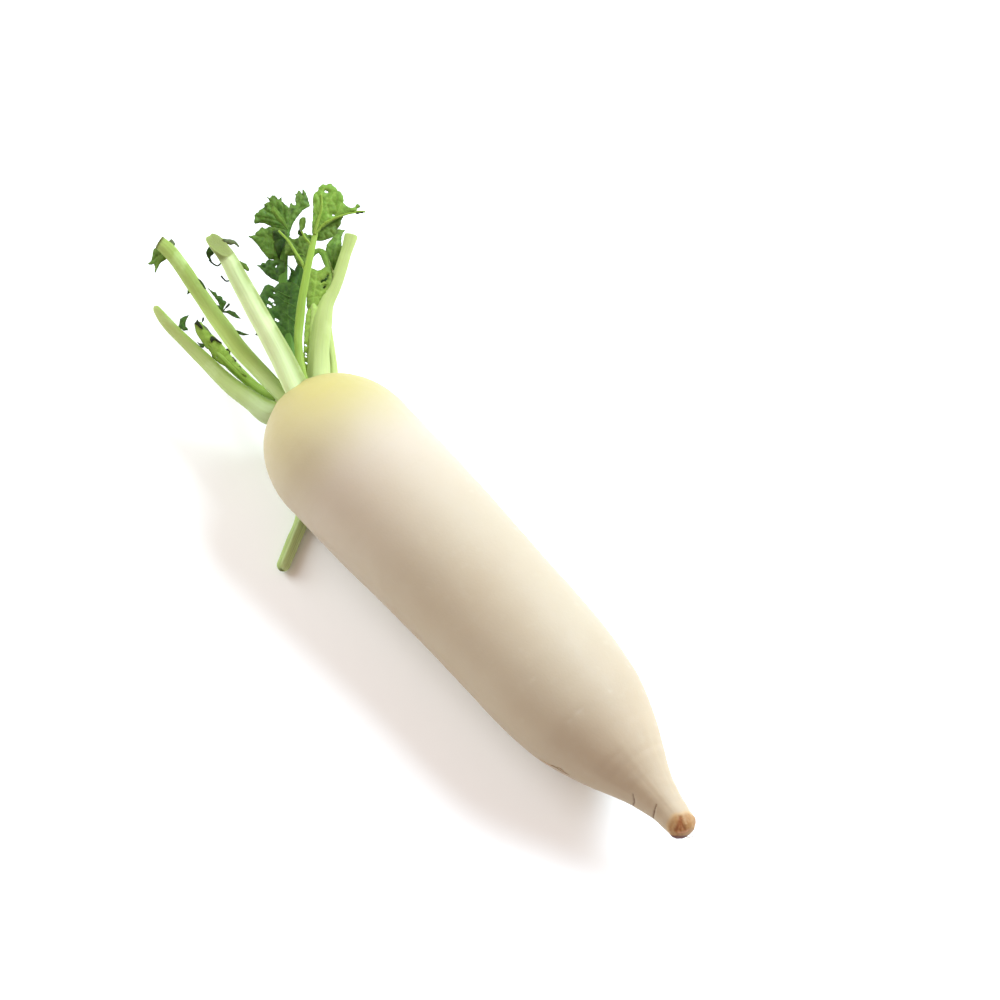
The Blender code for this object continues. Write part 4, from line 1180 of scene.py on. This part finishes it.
        "yellow", (21.5, 0.0, 43.0), (37.5, 2.5, 51.5), 0.9, (-0.3, 0.5, 0.14, 0.22),
        [308.5, 268.5, 312, 268.2, 315, 269.7, 318, 270.6, 321.1, 269.8, 323.8, 267.4, 326.5, 266,
         329.5, 270, 332, 275, 331.5, 281, 330.5, 289, 330, 297, 327, 304, 321, 310, 314, 313,
         309, 313, 306.6, 306, 307, 290],
        [[312, 311, 314, 298, 316, 284, 317, 272], [308.5, 299, 317, 297.6, 328, 297.4],
         [316, 284, 310, 277], [318, 297, 320, 304], [316, 290, 322, 293]],
        holes=[(327.6, 276, 1.2), (325.6, 279.6, 1.9), (322.2, 281.4, 1.6), (324.4, 287.3, 1.5)],
        ribs=[([319.5, 285.6, 322, 284, 325, 283.6, 327.5, 284.2], 0.3)]
    ),
    # A deeper leaf seen through the patch's holes, given the dark colour: partly that leaf, partly
    # painted shade
    "thick_depth": Blade(
        "dark", (21.5, -1.5, 43.0), (35.5, 0.5, 51.5), -1.6, (0.2, 0.3, 0.1, 0.3),
        [316, 276, 322, 272, 330, 274, 331, 284, 328, 293, 320, 292, 316, 286]
    ),
    "thick_sheath": Blade(
        "sheath", (6.5, -1.5, 24.5), (17.5, -0.5, 37.0), 1.5, (-1.2, 1.4, 0.1, 0.08),
        [316, 376, 309, 376, 308.2, 362, 307.8, 346, 308, 330, 308.6, 318, 309.4, 309,
         310.8, 303.5, 314.5, 303, 317, 306, 320, 303, 323.5, 300.5, 324.5, 308, 323, 322,
         321, 340, 319, 358],
        [[313, 372, 312, 350, 312.4, 328, 313.6, 308], [316, 366, 316.5, 340, 318.5, 312]]
    ),
    "thick_wing": Blade(
        "olive", (4.5, -1.0, 22.5), (14.0, 0.0, 34.0), 0.4, (0.2, 0.5, 0.22, 0.25),
        [308, 309, 312, 309, 312, 330, 310.5, 350, 309.5, 366, 307.5, 379, 304.5, 377, 302.6, 370,
         303, 360, 303.4, 350, 304.2, 340, 304.6, 328, 306, 316],
        holes=[(305.8, 345.5, 1.2), (306, 353.8, 1.1), (306, 356.6, 1.1), (306.3, 363.2, 1.2)]
    ),
    "blunt_flag": Blade(
        "mid", (80.0, 18.0, 3.0), (88.0, 19.0, 2.5), -0.6, (0.4, 0.4, 0.12, 0.35),
        [158, 247, 153.8, 249.2, 153, 252.6, 152.4, 256.5, 151.4, 260.9, 149.6, 262.8, 147.8, 264,
         149.6, 265, 152.2, 264.9, 154.1, 263.9, 155.1, 268.4, 154.7, 272, 155.6, 273.2,
         157.7, 268.4, 159.6, 264.5, 161.8, 262, 165.9, 259.6, 169, 257, 165, 249],
        [[163, 253, 158, 261, 155.4, 271], [159, 256, 153, 262]]
    ),
    "blunt_stub": Blade(
        "grey", (80.0, 19.0, 3.5), (88.0, 20.0, 3.0), -0.2, (0.2, 0.3, 0.08, 0.2),
        [165, 243.5, 168.8, 241.3, 171.4, 238.9, 173.2, 240.3, 175.7, 244.1, 173.6, 246.6,
         169, 249]
    ),
    "blunt_thorn": Blade(
        "dark", (47.0, 13.0, -1.0), (64.0, 16.5, 1.5), 0.0, (0.1, 0.2, 0.05, 0.1),
        [191, 288.5, 187.7, 289.6, 187.4, 292.5, 186.8, 294.8, 189, 293.6, 193, 291.5]
    ),
    "blunt_peel": Blade(
        "dark", (47.0, 13.0, -1.0), (64.0, 16.5, 1.5), 1.4, (0.0, 0.3, 0.06, 0.1),
        [198.2, 278.4, 200.6, 279.8, 203.2, 283, 206.3, 288.6, 204.6, 289.2, 201.4, 285]
    ),
    "blunt_comb": Blade(
        "deep", (47.0, 13.0, -1.0), (64.0, 16.5, 1.5), 0.6, (0.3, 0.5, 0.12, 0.35),
        [206.6, 287.2, 210.5, 289.8, 213.1, 291.8, 215.6, 292.2, 216.5, 293.3, 217.4, 295.8,
         220.2, 295.9, 222.3, 297.3, 223.1, 300.3, 225.3, 301, 226.7, 302.7, 224.8, 305.6,
         223.5, 308.1, 222.8, 312, 219.5, 310.5, 216, 305, 219.6, 305.8, 218.2, 302, 215.4, 298,
         211.2, 292.8],
        [[209, 289.5, 216, 297, 221.5, 306], [216, 297, 219, 297]]
    ),
    "blunt_leaflet": Blade(
        "dark", (37.5, 11.5, -2.0), (47.0, 13.0, -1.0), 0.6, (0.2, 0.3, 0.08, 0.25),
        [219.5, 309.8, 223.8, 310.6, 226.5, 310.9, 229.7, 310.2, 234.8, 312.2, 238, 315.4,
         241, 319, 236.7, 318.3, 231.6, 315.8, 227.2, 313.2, 222, 312.4],
        [[223, 311.4, 231, 313, 238, 317]]
    ),
    "blunt_sliver": Blade(
        "dark", (28.5, 10.0, -3.0), (37.5, 11.5, -2.0), 0.6, (0.2, 0.3, 0.06, 0.2),
        [231, 328.5, 234.7, 330, 239.6, 331, 243.2, 332.8, 249.9, 334.6, 243.2, 335.6,
         239.6, 334.7, 236.1, 332, 232, 331.5],
        [[234, 330.6, 240, 333, 248, 334.6]]
    ),
    "pale_loop": Blade(
        "dark", (43.5, 33.0, 12.5), (60.0, 40.0, 15.0), -0.4, (0.3, 0.3, 0.08, 0.3),
        [212, 245.5, 209, 247, 206.8, 249.9, 205.9, 253.1, 206.7, 255.8, 208.6, 258.8, 211.2, 262,
         212, 260.5, 210.4, 257.6, 211.4, 255.9, 214.6, 253.3, 217, 250],
        [[211, 248, 208.6, 253, 209.6, 259]]
    ),
    "pale_hook": Blade(
        "grey", (43.5, 33.0, 12.5), (60.0, 40.0, 15.0), -0.6, (0.2, 0.3, 0.08, 0.25),
        [223, 238.5, 226.5, 239.2, 230.4, 239.2, 234.8, 240.5, 237.4, 243.2, 239.5, 246.2,
         238.3, 247.6, 236.2, 245.4, 234.2, 244, 230.6, 245.2, 227.5, 243.8, 224, 243]
    ),
    "pale_tab": Blade(
        "mid", (43.5, 33.0, 12.5), (60.0, 40.0, 15.0), -0.4, (0.2, 0.3, 0.06, 0.2),
        [238, 260, 241.4, 261.6, 246.3, 263.7, 249.3, 268.8, 249, 271, 246.9, 271.2, 244.2, 268.8,
         241, 266]
    ),
    "low_flag": Blade(
        "deep", (54.5, -4.5, -14.0), (68.0, -5.0, -13.5), 1.0, (0.3, 0.4, 0.1, 0.3),
        [188.8, 315.2, 186.6, 315.6, 183.5, 317, 180.2, 319.4, 179.6, 324.2, 178.5, 327, 184, 331,
         187.9, 330.4, 187.6, 328.6, 185.9, 326.6, 185.5, 323.2, 186.8, 318.6],
        [[184, 329, 182.8, 323, 187.5, 316.5]]
    ),
    "low_nick": Blade(
        "dark", (38.5, -3.5, -14.0), (54.5, -4.5, -14.0), 1.8, (0.1, 0.3, 0.08, 0.15),
        [196.5, 341.6, 200, 343.4, 204.3, 343.8, 204.6, 346, 203.2, 348.2, 200.8, 347.2]
    ),
    "torn_sheath": Blade(
        "olive", (21.0, -6.0, -6.0), (49.5, -3.5, -5.5), 2.1, (0.0, 0.35, 0.2, 0.08),
        [194.4, 323.9, 197.5, 321.8, 202.5, 325.6, 206.7, 329.8, 210.2, 333, 211.6, 336.5,
         214.4, 337.4, 216.5, 339.3, 222.1, 343.5, 222.6, 346.6, 224.3, 350.4, 229, 351.2,
         229.6, 354.6, 231.6, 357.2, 234.6, 359, 236, 362.6, 238.6, 366.2, 241, 368, 243.2, 371.6,
         247, 376.5, 241, 374.5, 234, 370.5, 227, 367.2, 221, 364.6, 216.2, 361, 213.7, 358,
         211.8, 354.4, 208.6, 349.6, 205.6, 348, 203.2, 343.5, 198.9, 337.2, 195.8, 331.6],
        [[198, 327, 204, 338, 212, 348, 222, 358, 232, 367, 240, 373]],
        holes=[(209, 345.6, 0.6), (217.2, 357.8, 0.7)]
    ),
    "torn_veil": Blade(
        "grey", (41.0, -5.0, -6.0), (55.5, -3.0, -4.5), 0.4, (0.2, 0.3, 0.05, 0.15),
        [201, 325, 204, 325.2, 206.9, 327.3, 209.2, 330.6, 211.2, 333.4, 211.9, 336.2,
         208.1, 337.4, 203.9, 332]
    ),
    "torn_tip": Blade(
        "black", (41.0, -4.0, -6.0), (55.5, -2.0, -4.5), 2.4, (0.1, 0.3, 0.08, 0.15),
        [194.2, 323.9, 196.2, 321.4, 197.6, 319.6, 199, 321.6, 202.6, 326.7, 202.8, 329.3,
         199.6, 327.6, 197, 324.9]
    ),
    "torn_notch": Blade(
        "black", (30.5, -4.0, -6.5), (41.0, -3.4, -6.0), 2.0, (0.1, 0.3, 0.08, 0.15),
        [210.2, 340.2, 210.8, 337.2, 212.3, 336, 214.8, 337.2, 218, 339.8, 222.6, 343.2,
         220.6, 343.6, 216.4, 341, 214.6, 339.7, 212.9, 341.6, 211.5, 342.7]
    ),
    "torn_bit_left": Blade(
        "black", (30.5, -5.0, -6.5), (41.0, -4.4, -6.0), 1.8, (0.1, 0.2, 0.08, 0.1),
        [212, 355.4, 214.6, 354.6, 216.2, 356.8, 214.6, 359.4, 212.6, 358.4]
    ),
    "torn_bit_top": Blade(
        "black", (30.5, -5.0, -6.5), (41.0, -4.4, -6.0), 1.6, (0.1, 0.2, 0.08, 0.1),
        [225.6, 349.4, 228, 348.4, 230.8, 351.2, 229.8, 354.8, 227.4, 354.2, 227.8, 351.6]
    ),
    "torn_bit_middle": Blade(
        "black", (21.0, -6.0, -6.0), (30.5, -5.0, -6.5), 1.6, (0.1, 0.2, 0.06, 0.1),
        [231.4, 357, 233.6, 357.2, 236.6, 361, 235.2, 362.2, 233, 360.4]
    ),
    "torn_bit_low": Blade(
        "black", (21.0, -6.0, -6.0), (30.5, -5.0, -6.5), 1.6, (0.1, 0.2, 0.06, 0.1),
        [238.2, 366, 240.4, 366, 241.6, 368.2, 240, 370, 238.4, 368.6]
    ),
}

# Threads and dried ends: colour, a point of the crown's frame on a plane that faces the camera,
# radii along the thread, and its pixels on that plane
THREADS = {
    "pale_loop_thread": (
        "black", (57.0, 39.0, 14.5), (0.55, 0.42, 0.38, 0.38, 0.42),
        [209.2, 259.4, 211.4, 262.2, 214.2, 264.4, 217.6, 265.8, 221.5, 262.6],
    ),
    "pale_hair": (
        "black", (48.0, 35.5, 13.0), (0.42, 0.38, 0.38, 0.26),
        [221.1, 275.8, 223.3, 278.6, 226.5, 281.1, 232, 279.6],
    ),
    "pale_dot": (
        "black", (20.5, 23.0, 8.0), (0.55, 0.5, 0.3),
        [256.2, 335.2, 257.2, 333.8, 260, 333],
    ),
    "blunt_rod": (
        "black", (46.0, 13.0, -0.5), (0.24, 0.24, 0.5, 0.46),
        [222.6, 311.5, 226, 307.6, 228, 305.6, 229.6, 303.5],
    ),
    "torn_thread": (
        "black", (54.0, -2.5, -4.5), (0.1, 0.1, 0.5, 0.4),
        [199.5, 324.4, 202, 322, 203, 320, 203.2, 317.4],
    ),
    "sprig_tie": (
        "fold", (58.0, 16.2, 47.7), (0.22, 0.22, 0.2, 0.24),
        [304.8, 257.6, 303.2, 254.9, 299.5, 254.2, 296.4, 256.4],
    ),
    "sprig_bead_end": (
        "black", (37.4, 20.2, 82.0), (0.25, 0.52, 0.22, 0.3, 0.55),
        [355.4, 212.7, 357.8, 213.3, 359.6, 213, 361.2, 212.6, 363.2, 212.6],
    ),
}

# Colours of blades: low, high, and of veins; with the share of the veins
BLADE_COLOURS = {
    "bright": ((0.150, 0.285, 0.036), (0.200, 0.350, 0.056), (0.31, 0.48, 0.10), 0.50),
    "mid": ((0.083, 0.156, 0.021), (0.125, 0.212, 0.035), (0.21, 0.35, 0.074), 0.40),
    "fold": ((0.125, 0.235, 0.030), (0.165, 0.285, 0.046), (0.24, 0.39, 0.075), 0.40),
    "fresh": ((0.069, 0.140, 0.019), (0.106, 0.190, 0.030), (0.18, 0.29, 0.056), 0.35),
    "deep": ((0.028, 0.076, 0.010), (0.050, 0.114, 0.016), (0.10, 0.20, 0.034), 0.30),
    "yellow": ((0.130, 0.218, 0.026), (0.185, 0.280, 0.042), (0.30, 0.46, 0.085), 0.45),
    "sheath": ((0.270, 0.380, 0.085), (0.330, 0.450, 0.120), (0.38, 0.50, 0.15), 0.30),
    "olive": ((0.175, 0.275, 0.036), (0.235, 0.345, 0.056), (0.22, 0.33, 0.055), 0.30),
    "dark": ((0.020, 0.052, 0.009), (0.040, 0.086, 0.015), (0.07, 0.14, 0.025), 0.25),
    "grey": ((0.085, 0.118, 0.052), (0.140, 0.172, 0.080), (0.18, 0.22, 0.10), 0.30),
    "black": ((0.009, 0.016, 0.006), (0.026, 0.036, 0.012), (0.035, 0.050, 0.020), 0.20),
}
MARGIN_BROWN = (0.059, 0.053, 0.0127)


def blade_material(kind):
    """Leaf blade: mottled green, paler veins, painted shade in the crinkles' low places and a
    darker margin.
    """
    low, high, vein_colour, vein_share = BLADE_COLOURS[kind]
    material, tree, shader = new_material(
        "blade_" + kind, roughness=0.52, glow=0.10, glow_radius=(0.5, 1.0, 0.15), shine=0.14)
    place = object_place(tree)
    mottle = cloud(tree, place, 420.0, 4.0, 0.6)
    colour = blend(tree, spread(tree, mottle, 0.35, 0.65), low, high)
    # Painted shade: darker colour in the crinkles' low places
    crinkle_shade_colour = tuple(0.55 * channel for channel in low)
    colour = tinted(tree, colour, crinkle_shade_colour, value_of(tree, "hollow"), 0.8)
    net = inverse(tree, spread(tree, cells(tree, place, 900.0), 0.0, 0.14))
    colour = tinted(tree, colour, vein_colour, net, 0.14 * vein_share)
    colour = tinted(tree, colour, vein_colour, value_of(tree, "vein"), vein_share)
    colour = tinted(tree, colour, MARGIN_BROWN, value_of(tree, "margin"), 0.4)
    tree.links.new(colour, shader.inputs["Base Color"])
    height = total(tree, mottle, product(tree, net, 0.35))
    tree.links.new(bump(tree, height, 0.30, 0.0004), shader.inputs["Normal"])
    return material


# Steps along a blade's rim, veins and ribs, and how wide a vein's and the margin's colour is
RIM_STEP = 0.38
VEIN_STEP = 0.3
RIB_STEP = 1.2
VEIN_WIDTH = 0.36
MARGIN_WIDTH = 0.35
HOLE_SIDES = 12
# Sizes of the uneven teeth along a rim, and of a blade's crinkles
TOOTH_WIDE = 0.95
TOOTH_FINE = 0.4
CRINKLE_WIDE = 2.6
CRINKLE_FINE = 1.3
# Distances from the rim over which a blade lies closer, and its dome rises
LOOSE_REACH = 3.5
DOME_REACH = 2.2
# Distances from a vein and from the rim over which the leaf between them puffs up, and how far
PUFF_FROM_VEIN = (0.1, 1.3)
PUFF_FROM_RIM = (0.0, 0.9)
PUFF_SHARE = 0.9
# How deep in a crinkle the painted shade starts and is full
CRINKLE_SHADE_FADE = (0.05, 0.45)
RIB_LIFT = 0.2
THREAD_SIDES = 10


def leaf_of(name):
    """The leaf node that carries a blade or thread."""
    return "leaf_" + name.split("_")[0]


def pairs(numbers):
    """Pixels from a flat run of numbers."""
    return list(zip(numbers[::2], numbers[1::2]))


def evenly_spaced(points, step, closed):
    """Points about a step apart along straight runs between 2D points."""
    chain = points + [points[0]] if closed else points
    spaced = []
    for start, end in zip(chain, chain[1:]):
        count = max(1, round(math.dist(start, end) / step))
        for i in range(count):
            share = i / count
            spaced.append(tuple(a + (b - a) * share for a, b in zip(start, end)))
    if not closed:
        spaced.append(chain[-1])
    return spaced


def scalloped(outline, depth, seed):
    """An outline with small uneven teeth cut into it."""
    teeth = []
    travelled = 0.0
    for i, (u, v) in enumerate(outline):
        before, after = outline[i - 1], outline[(i + 1) % len(outline)]
        run = (after[0] - before[0], after[1] - before[1])
        length = math.hypot(*run) or 1.0
        travelled += 0.5 * length
        wave = noise.noise(Vector((travelled / TOOTH_WIDE, seed, 0.0)))
        wave += 0.5 * noise.noise(Vector((travelled / TOOTH_FINE, seed, 3.0)))
        teeth.append((u - run[1] / length * depth * wave, v + run[0] / length * depth * wave))
    return teeth


def inside(outline, point):
    """Whether a 2D point is inside an outline."""
    crossings = 0
    for (u1, v1), (u2, v2) in zip(outline, outline[1:] + outline[:1]):
        if (v1 > point[1]) != (v2 > point[1]):
            if point[0] < (u2 - u1) * (point[1] - v1) / (v2 - v1) + u1:
                crossings += 1
    return crossings % 2 == 1


def on_blade(outline, holes, point):
    """Whether a 2D point is inside an outline and in none of its holes."""
    return inside(outline, point) and not any(inside(hole, point) for hole in holes)


def nearest(points, chains):
    """Distance from each 2D point to the nearest point of the chains."""
    targets = np.array([target for chain in chains for target in chain])
    if not len(targets):
        return np.full(len(points), 9.0)
    away = np.asarray(points)[:, None, :] - targets[None, :, :]
    return np.sqrt((away**2).sum(axis=2)).min(axis=1)


def grid_inside(outline, holes):
    """Points of a triangular grid that are clear of the rims of an outline and its holes."""
    us, vs = [u for u, _ in outline], [v for _, v in outline]
    points, row, v = [], 0, min(vs)
    while v < max(vs):
        u = min(us) + (0.5 * BLADE_GRID if row % 2 else 0.0)
        while u < max(us):
            if on_blade(outline, holes, (u, v)):
                points.append((u, v))
            u += BLADE_GRID
        v += 0.87 * BLADE_GRID
        row += 1
    if not points:
        return points
    gaps = nearest(points, [outline, *holes])
    return [point for point, gap in zip(points, gaps) if gap > 0.6 * BLADE_GRID]


def hole_ring(flat, x, y, reach, seed):
    """The uneven rim of a hole, on the blade's plane."""
    ring = []
    for turn in turns(HOLE_SIDES):
        far = reach * (1.0 + 0.35 * math.sin(2.0 * turn + seed) + 0.2 * math.sin(5.0 * turn))
        ring.append(flat((x + far * math.cos(turn), y + far * math.sin(turn))))
    return ring


def filled(outline, holes):
    """Points and faces that fill an outline around its holes."""
    points, edges = [], []
    for rim in (outline, *holes):
        first = len(points)
        points += rim
        edges += [(first + i, first + (i + 1) % len(rim)) for i in range(len(rim))]
    points += grid_inside(outline, holes)
    result = geometry.delaunay_2d_cdt([Vector(point) for point in points], edges, [], 1, 1e-5)
    points, faces = [tuple(point) for point in result[0]], []
    for face in result[2]:
        centre = tuple(sum(points[i][axis] for i in face) / len(face) for axis in (0, 1))
        if on_blade(outline, holes, centre):
            faces.append(tuple(face))
    return points, faces


def make_blade(name, blade, materials, stalk_materials, seed):
    """A veined, crinkled leaf blade in the photographed outline, with its raised ribs."""
    cup, dome, scallop, crinkle = blade.shape
    base, tip = crown_point(blade.base), crown_point(blade.tip)
    along = (tip - base).normalized()
    facing = crown_direction(UPWARD)
    normal = (facing - along * facing.dot(along)).normalized()
    across = along.cross(normal)
    middle = base + normal * blade.rise

    def flat(pixel):
        place = on_plane(pixel, middle, normal) - middle
        return place.dot(along), place.dot(across)

    def raised(u, v, height):
        return middle + along * u + across * v + normal * height

    def flat_chain(numbers, step, closed=False):
        return evenly_spaced([flat(pixel) for pixel in pairs(numbers)], step, closed)

    outline = scalloped(flat_chain(blade.outline, RIM_STEP, True), scallop, 7.3 * seed)
    holes = [hole_ring(flat, *hole, seed) for hole in blade.holes]
    rims = [outline, *holes]
    veins = [flat_chain(chain, VEIN_STEP) for chain in blade.veins]
    vs = [v for _, v in outline]
    half, middle_v = 0.5 * (max(vs) - min(vs)), 0.5 * (max(vs) + min(vs))

    def wave(u, v):
        return noise.noise(Vector((u / CRINKLE_WIDE, v / CRINKLE_WIDE, seed)))

    def lift(u, v, from_rim):
        loose = 1.0 - smooth_step(0.0, LOOSE_REACH, from_rim)
        height = cup * ((v - middle_v) / half) ** 2 + dome * smooth_step(0.0, DOME_REACH, from_rim)
        fine = 0.5 * noise.noise(Vector((u / CRINKLE_FINE, v / CRINKLE_FINE, 2.0 + seed)))
        return height + crinkle * ((0.7 + 0.6 * loose) * wave(u, v) + fine)

    points, faces = filled(outline, holes)
    hollow_share = min(1.0, 2.0 * crinkle)
    vertices, marks = [], {}
    gaps = zip(points, nearest(points, rims), nearest(points, veins))
    for (u, v), from_rim, from_vein in gaps:
        vein = math.exp(-((from_vein / VEIN_WIDTH) ** 2))
        puffed = smooth_step(*PUFF_FROM_VEIN, from_vein) * smooth_step(*PUFF_FROM_RIM, from_rim)
        height = lift(u, v, from_rim) + PUFF_SHARE * crinkle * puffed
        vertices.append(tuple(raised(u, v, height) * MM))
        # Painted shade in the crinkles' low places, none on the veins
        hollow = hollow_share * smooth_step(*CRINKLE_SHADE_FADE, -wave(u, v)) * (1.0 - vein)
        note(marks, vein=vein, margin=math.exp(-((from_rim / MARGIN_WIDTH) ** 2)), hollow=hollow)
    mesh = bpy.data.meshes.new(name)
    mesh.from_pydata(vertices, [], faces)
    mesh.update()
    set_values(mesh, marks)
    mesh.shade_smooth()
    leaf, material = leaf_of(name), materials[blade.colour]
    piece = new_object(name, mesh, material, SLOTS[leaf], leaf)
    add_thickness(piece)
    for i, (numbers, radius) in enumerate(blade.ribs):
        chain = flat_chain(numbers, RIB_STEP)
        places = []
        for (u, v), gap in zip(chain, nearest(chain, rims)):
            height = lift(u, v, gap if inside(outline, (u, v)) else 0.0)
            places.append(raised(u, v, height + 0.55 * radius + RIB_LIFT))
        coat = stalk_materials[leaf] if leaf == "leaf_sprig" else material
        radii = [share * radius for share in RIB_TAPER]
        make_tube(f"{name}_rib_{i}", places, radii, coat, SLOTS[leaf], leaf)


def add_thickness(piece):
    """Give a blade's surface two sides."""
    solid = piece.modifiers.new("thickness", "SOLIDIFY")
    solid.thickness = BLADE_THICKNESS * MM
    solid.offset = 0.0
    solid.use_even_offset = False


def make_foliage(stalk_materials):
    """All blades, scraps and dried threads of the leaves."""
    materials = {kind: blade_material(kind) for kind in BLADE_COLOURS}
    for seed, (name, blade) in enumerate(BLADES.items()):
        make_blade(name, blade, materials, stalk_materials, seed + 1)
    for name, (kind, place, radii, numbers) in THREADS.items():
        centre, leaf = crown_point(place), leaf_of(name)
        places = [on_plane(pixel, centre, FORWARD) for pixel in pairs(numbers)]
        make_tube(name, places, radii, materials[kind], SLOTS[leaf], leaf, THREAD_SIDES)


# Fine threads: side rootlets and the thread at the tail's tip

# Station, turn, length and radius of side rootlets on the far side
ROOTLETS = [(229.0, 1.9, 2.4, 0.13), (199.0, 1.7, 2.0, 0.12), (222.0, 1.75, 1.6, 0.12)]
# Pixels along the dried rootlets that lie on the skin near its lower edge
LYING_ROOTLETS = [
    [(541, 760.5), (545.5, 763), (550, 765.8), (556, 768.2), (561, 771.6), (565, 774)],
    [(558, 768.4), (562.5, 770.6), (566.5, 774.4), (571, 776.6)],
]
ROOTLET_TAN = (0.40, 0.27, 0.14)
ROOTLET_BROWN = (0.17, 0.085, 0.04)
ROOTLET_SIDES = 8
# Pixels along the thread that hangs from the tail's end
TAIL_THREAD = [(683.0, 833.5), (685.0, 836.2), (689.5, 837.2), (694.2, 835.8)]


def thread_material():
    """Dry brown of the rootlets."""
    material, tree, shader = new_material("rootlet", roughness=0.6, glow=0.1)
    tone = cloud(tree, object_place(tree), 500.0, 2.0)
    colour = blend(tree, spread(tree, tone, 0.35, 0.65), ROOTLET_TAN, ROOTLET_BROWN)
    tree.links.new(colour, shader.inputs["Base Color"])
    return material


def make_rootlets():
    """Short side rootlets along the lower edge, and the thread that ends the tail."""
    material = thread_material()

    def thread(name, places, radii):
        make_tube(name, places, radii, material, "root_skin", sides=ROOTLET_SIDES)

    for i, (station, turn, length, radius) in enumerate(ROOTLETS):
        start, out = surface_place(station, turn, -0.3)
        along, _, _ = axis_frame(station)
        bend = start + (out * 0.5 + along * 0.6) * 0.4 * length
        end = start + (out * 0.42 + along) * length
        thread(f"rootlet_{i}", [start, bend, end], (radius, 0.8 * radius, 0.3 * radius))
    for i, line in enumerate(lines_on_root(LYING_ROOTLETS)):
        thread(f"lying_rootlet_{i}", line, (0.08, 0.20, 0.16, 0.07))
    centre = axis_point(ROOT_LENGTH - 1.0)
    places = [on_plane(pixel, centre, FORWARD) for pixel in TAIL_THREAD]
    thread("tail_thread", places, (0.30, 0.22, 0.16, 0.08))


# Stage, light and camera

FLOOR_SIZE = 6.0
FLOOR_DROP = 0.0001
FLOOR_COLOUR = (0.94, 0.98, 0.97, 1.0)
# Lights: bearing and elevation in degrees, distance, size, power and colour
LIGHTS = {
    "key": (58.0, 42.0, 1.6, 0.9, 51.0, (0.74, 0.87, 1.0)),
    "fill": (-62.0, 28.0, 1.7, 1.2, 30.0, (0.87, 0.96, 1.0)),
}
LIT_PLACE = Vector((0.0, 0.0, 0.02))
SKY_COLOUR = (1.0, 0.70, 0.61, 1.0)
SKY_STRENGTH = 0.55


def make_floor():
    """A plain pale floor just under the part."""
    bpy.ops.mesh.primitive_plane_add(size=FLOOR_SIZE, location=(0.0, 0.0, -FLOOR_DROP))
    floor = bpy.context.object
    floor.name = "floor"
    material = bpy.data.materials.new("floor")
    material.use_nodes = True
    shader = material.node_tree.nodes["Principled BSDF"]
    shader.inputs["Base Color"].default_value = FLOOR_COLOUR
    shader.inputs["Roughness"].default_value = 0.8
    shader.inputs["Specular IOR Level"].default_value = 0.2
    floor.data.materials.append(material)


def make_area_light(name, place, size, power, colour):
    """A soft square light that points at the turnip."""
    light = bpy.data.lights.new(name, "AREA")
    light.shape = "SQUARE"
    light.size = size
    light.energy = power
    light.color = colour
    lamp = bpy.data.objects.new(name, light)
    bpy.context.scene.collection.objects.link(lamp)
    lamp.location = place
    lamp.rotation_euler = (LIT_PLACE - Vector(place)).to_track_quat("-Z", "Y").to_euler()


def light_from(bearing, elevation, distance):
    """Place of a light: degrees to the right of the view's far side, and above the floor."""
    bearing, elevation = math.radians(bearing), math.radians(elevation)
    ahead = Vector((-math.sin(CAMERA_AZIMUTH), math.cos(CAMERA_AZIMUTH), 0.0))
    level = ahead * math.cos(bearing) + RIGHTWARD * math.sin(bearing)
    return tuple((level * math.cos(elevation) + Vector((0.0, 0.0, math.sin(elevation)))) * distance)


def make_light():
    """A key light from the far right, a wide fill from the left and a warm studio sky."""
    for name, (bearing, elevation, distance, size, power, colour) in LIGHTS.items():
        make_area_light(name, light_from(bearing, elevation, distance), size, power, colour)
    world = bpy.data.worlds.new("studio")
    bpy.context.scene.world = world
    world.use_nodes = True
    sky = world.node_tree.nodes["Background"]
    sky.inputs["Color"].default_value = SKY_COLOUR
    sky.inputs["Strength"].default_value = SKY_STRENGTH
    bpy.context.scene.view_settings.view_transform = "Standard"


def make_camera():
    """The photograph's view."""
    camera = bpy.data.cameras.new("camera")
    camera.lens = CAMERA_LENS
    camera.sensor_width = CAMERA_SENSOR
    camera.clip_end = 20.0
    holder = bpy.data.objects.new("camera", camera)
    bpy.context.scene.collection.objects.link(holder)
    turn = Matrix((RIGHTWARD, IMAGE_UP, -FORWARD)).transposed()
    holder.matrix_world = Matrix.Translation(CAMERA_PLACE * MM) @ turn.to_4x4()
    bpy.context.scene.camera = holder


make_camera()
make_light()
make_floor()
make_root()
make_foliage(make_stalks())
make_rootlets()
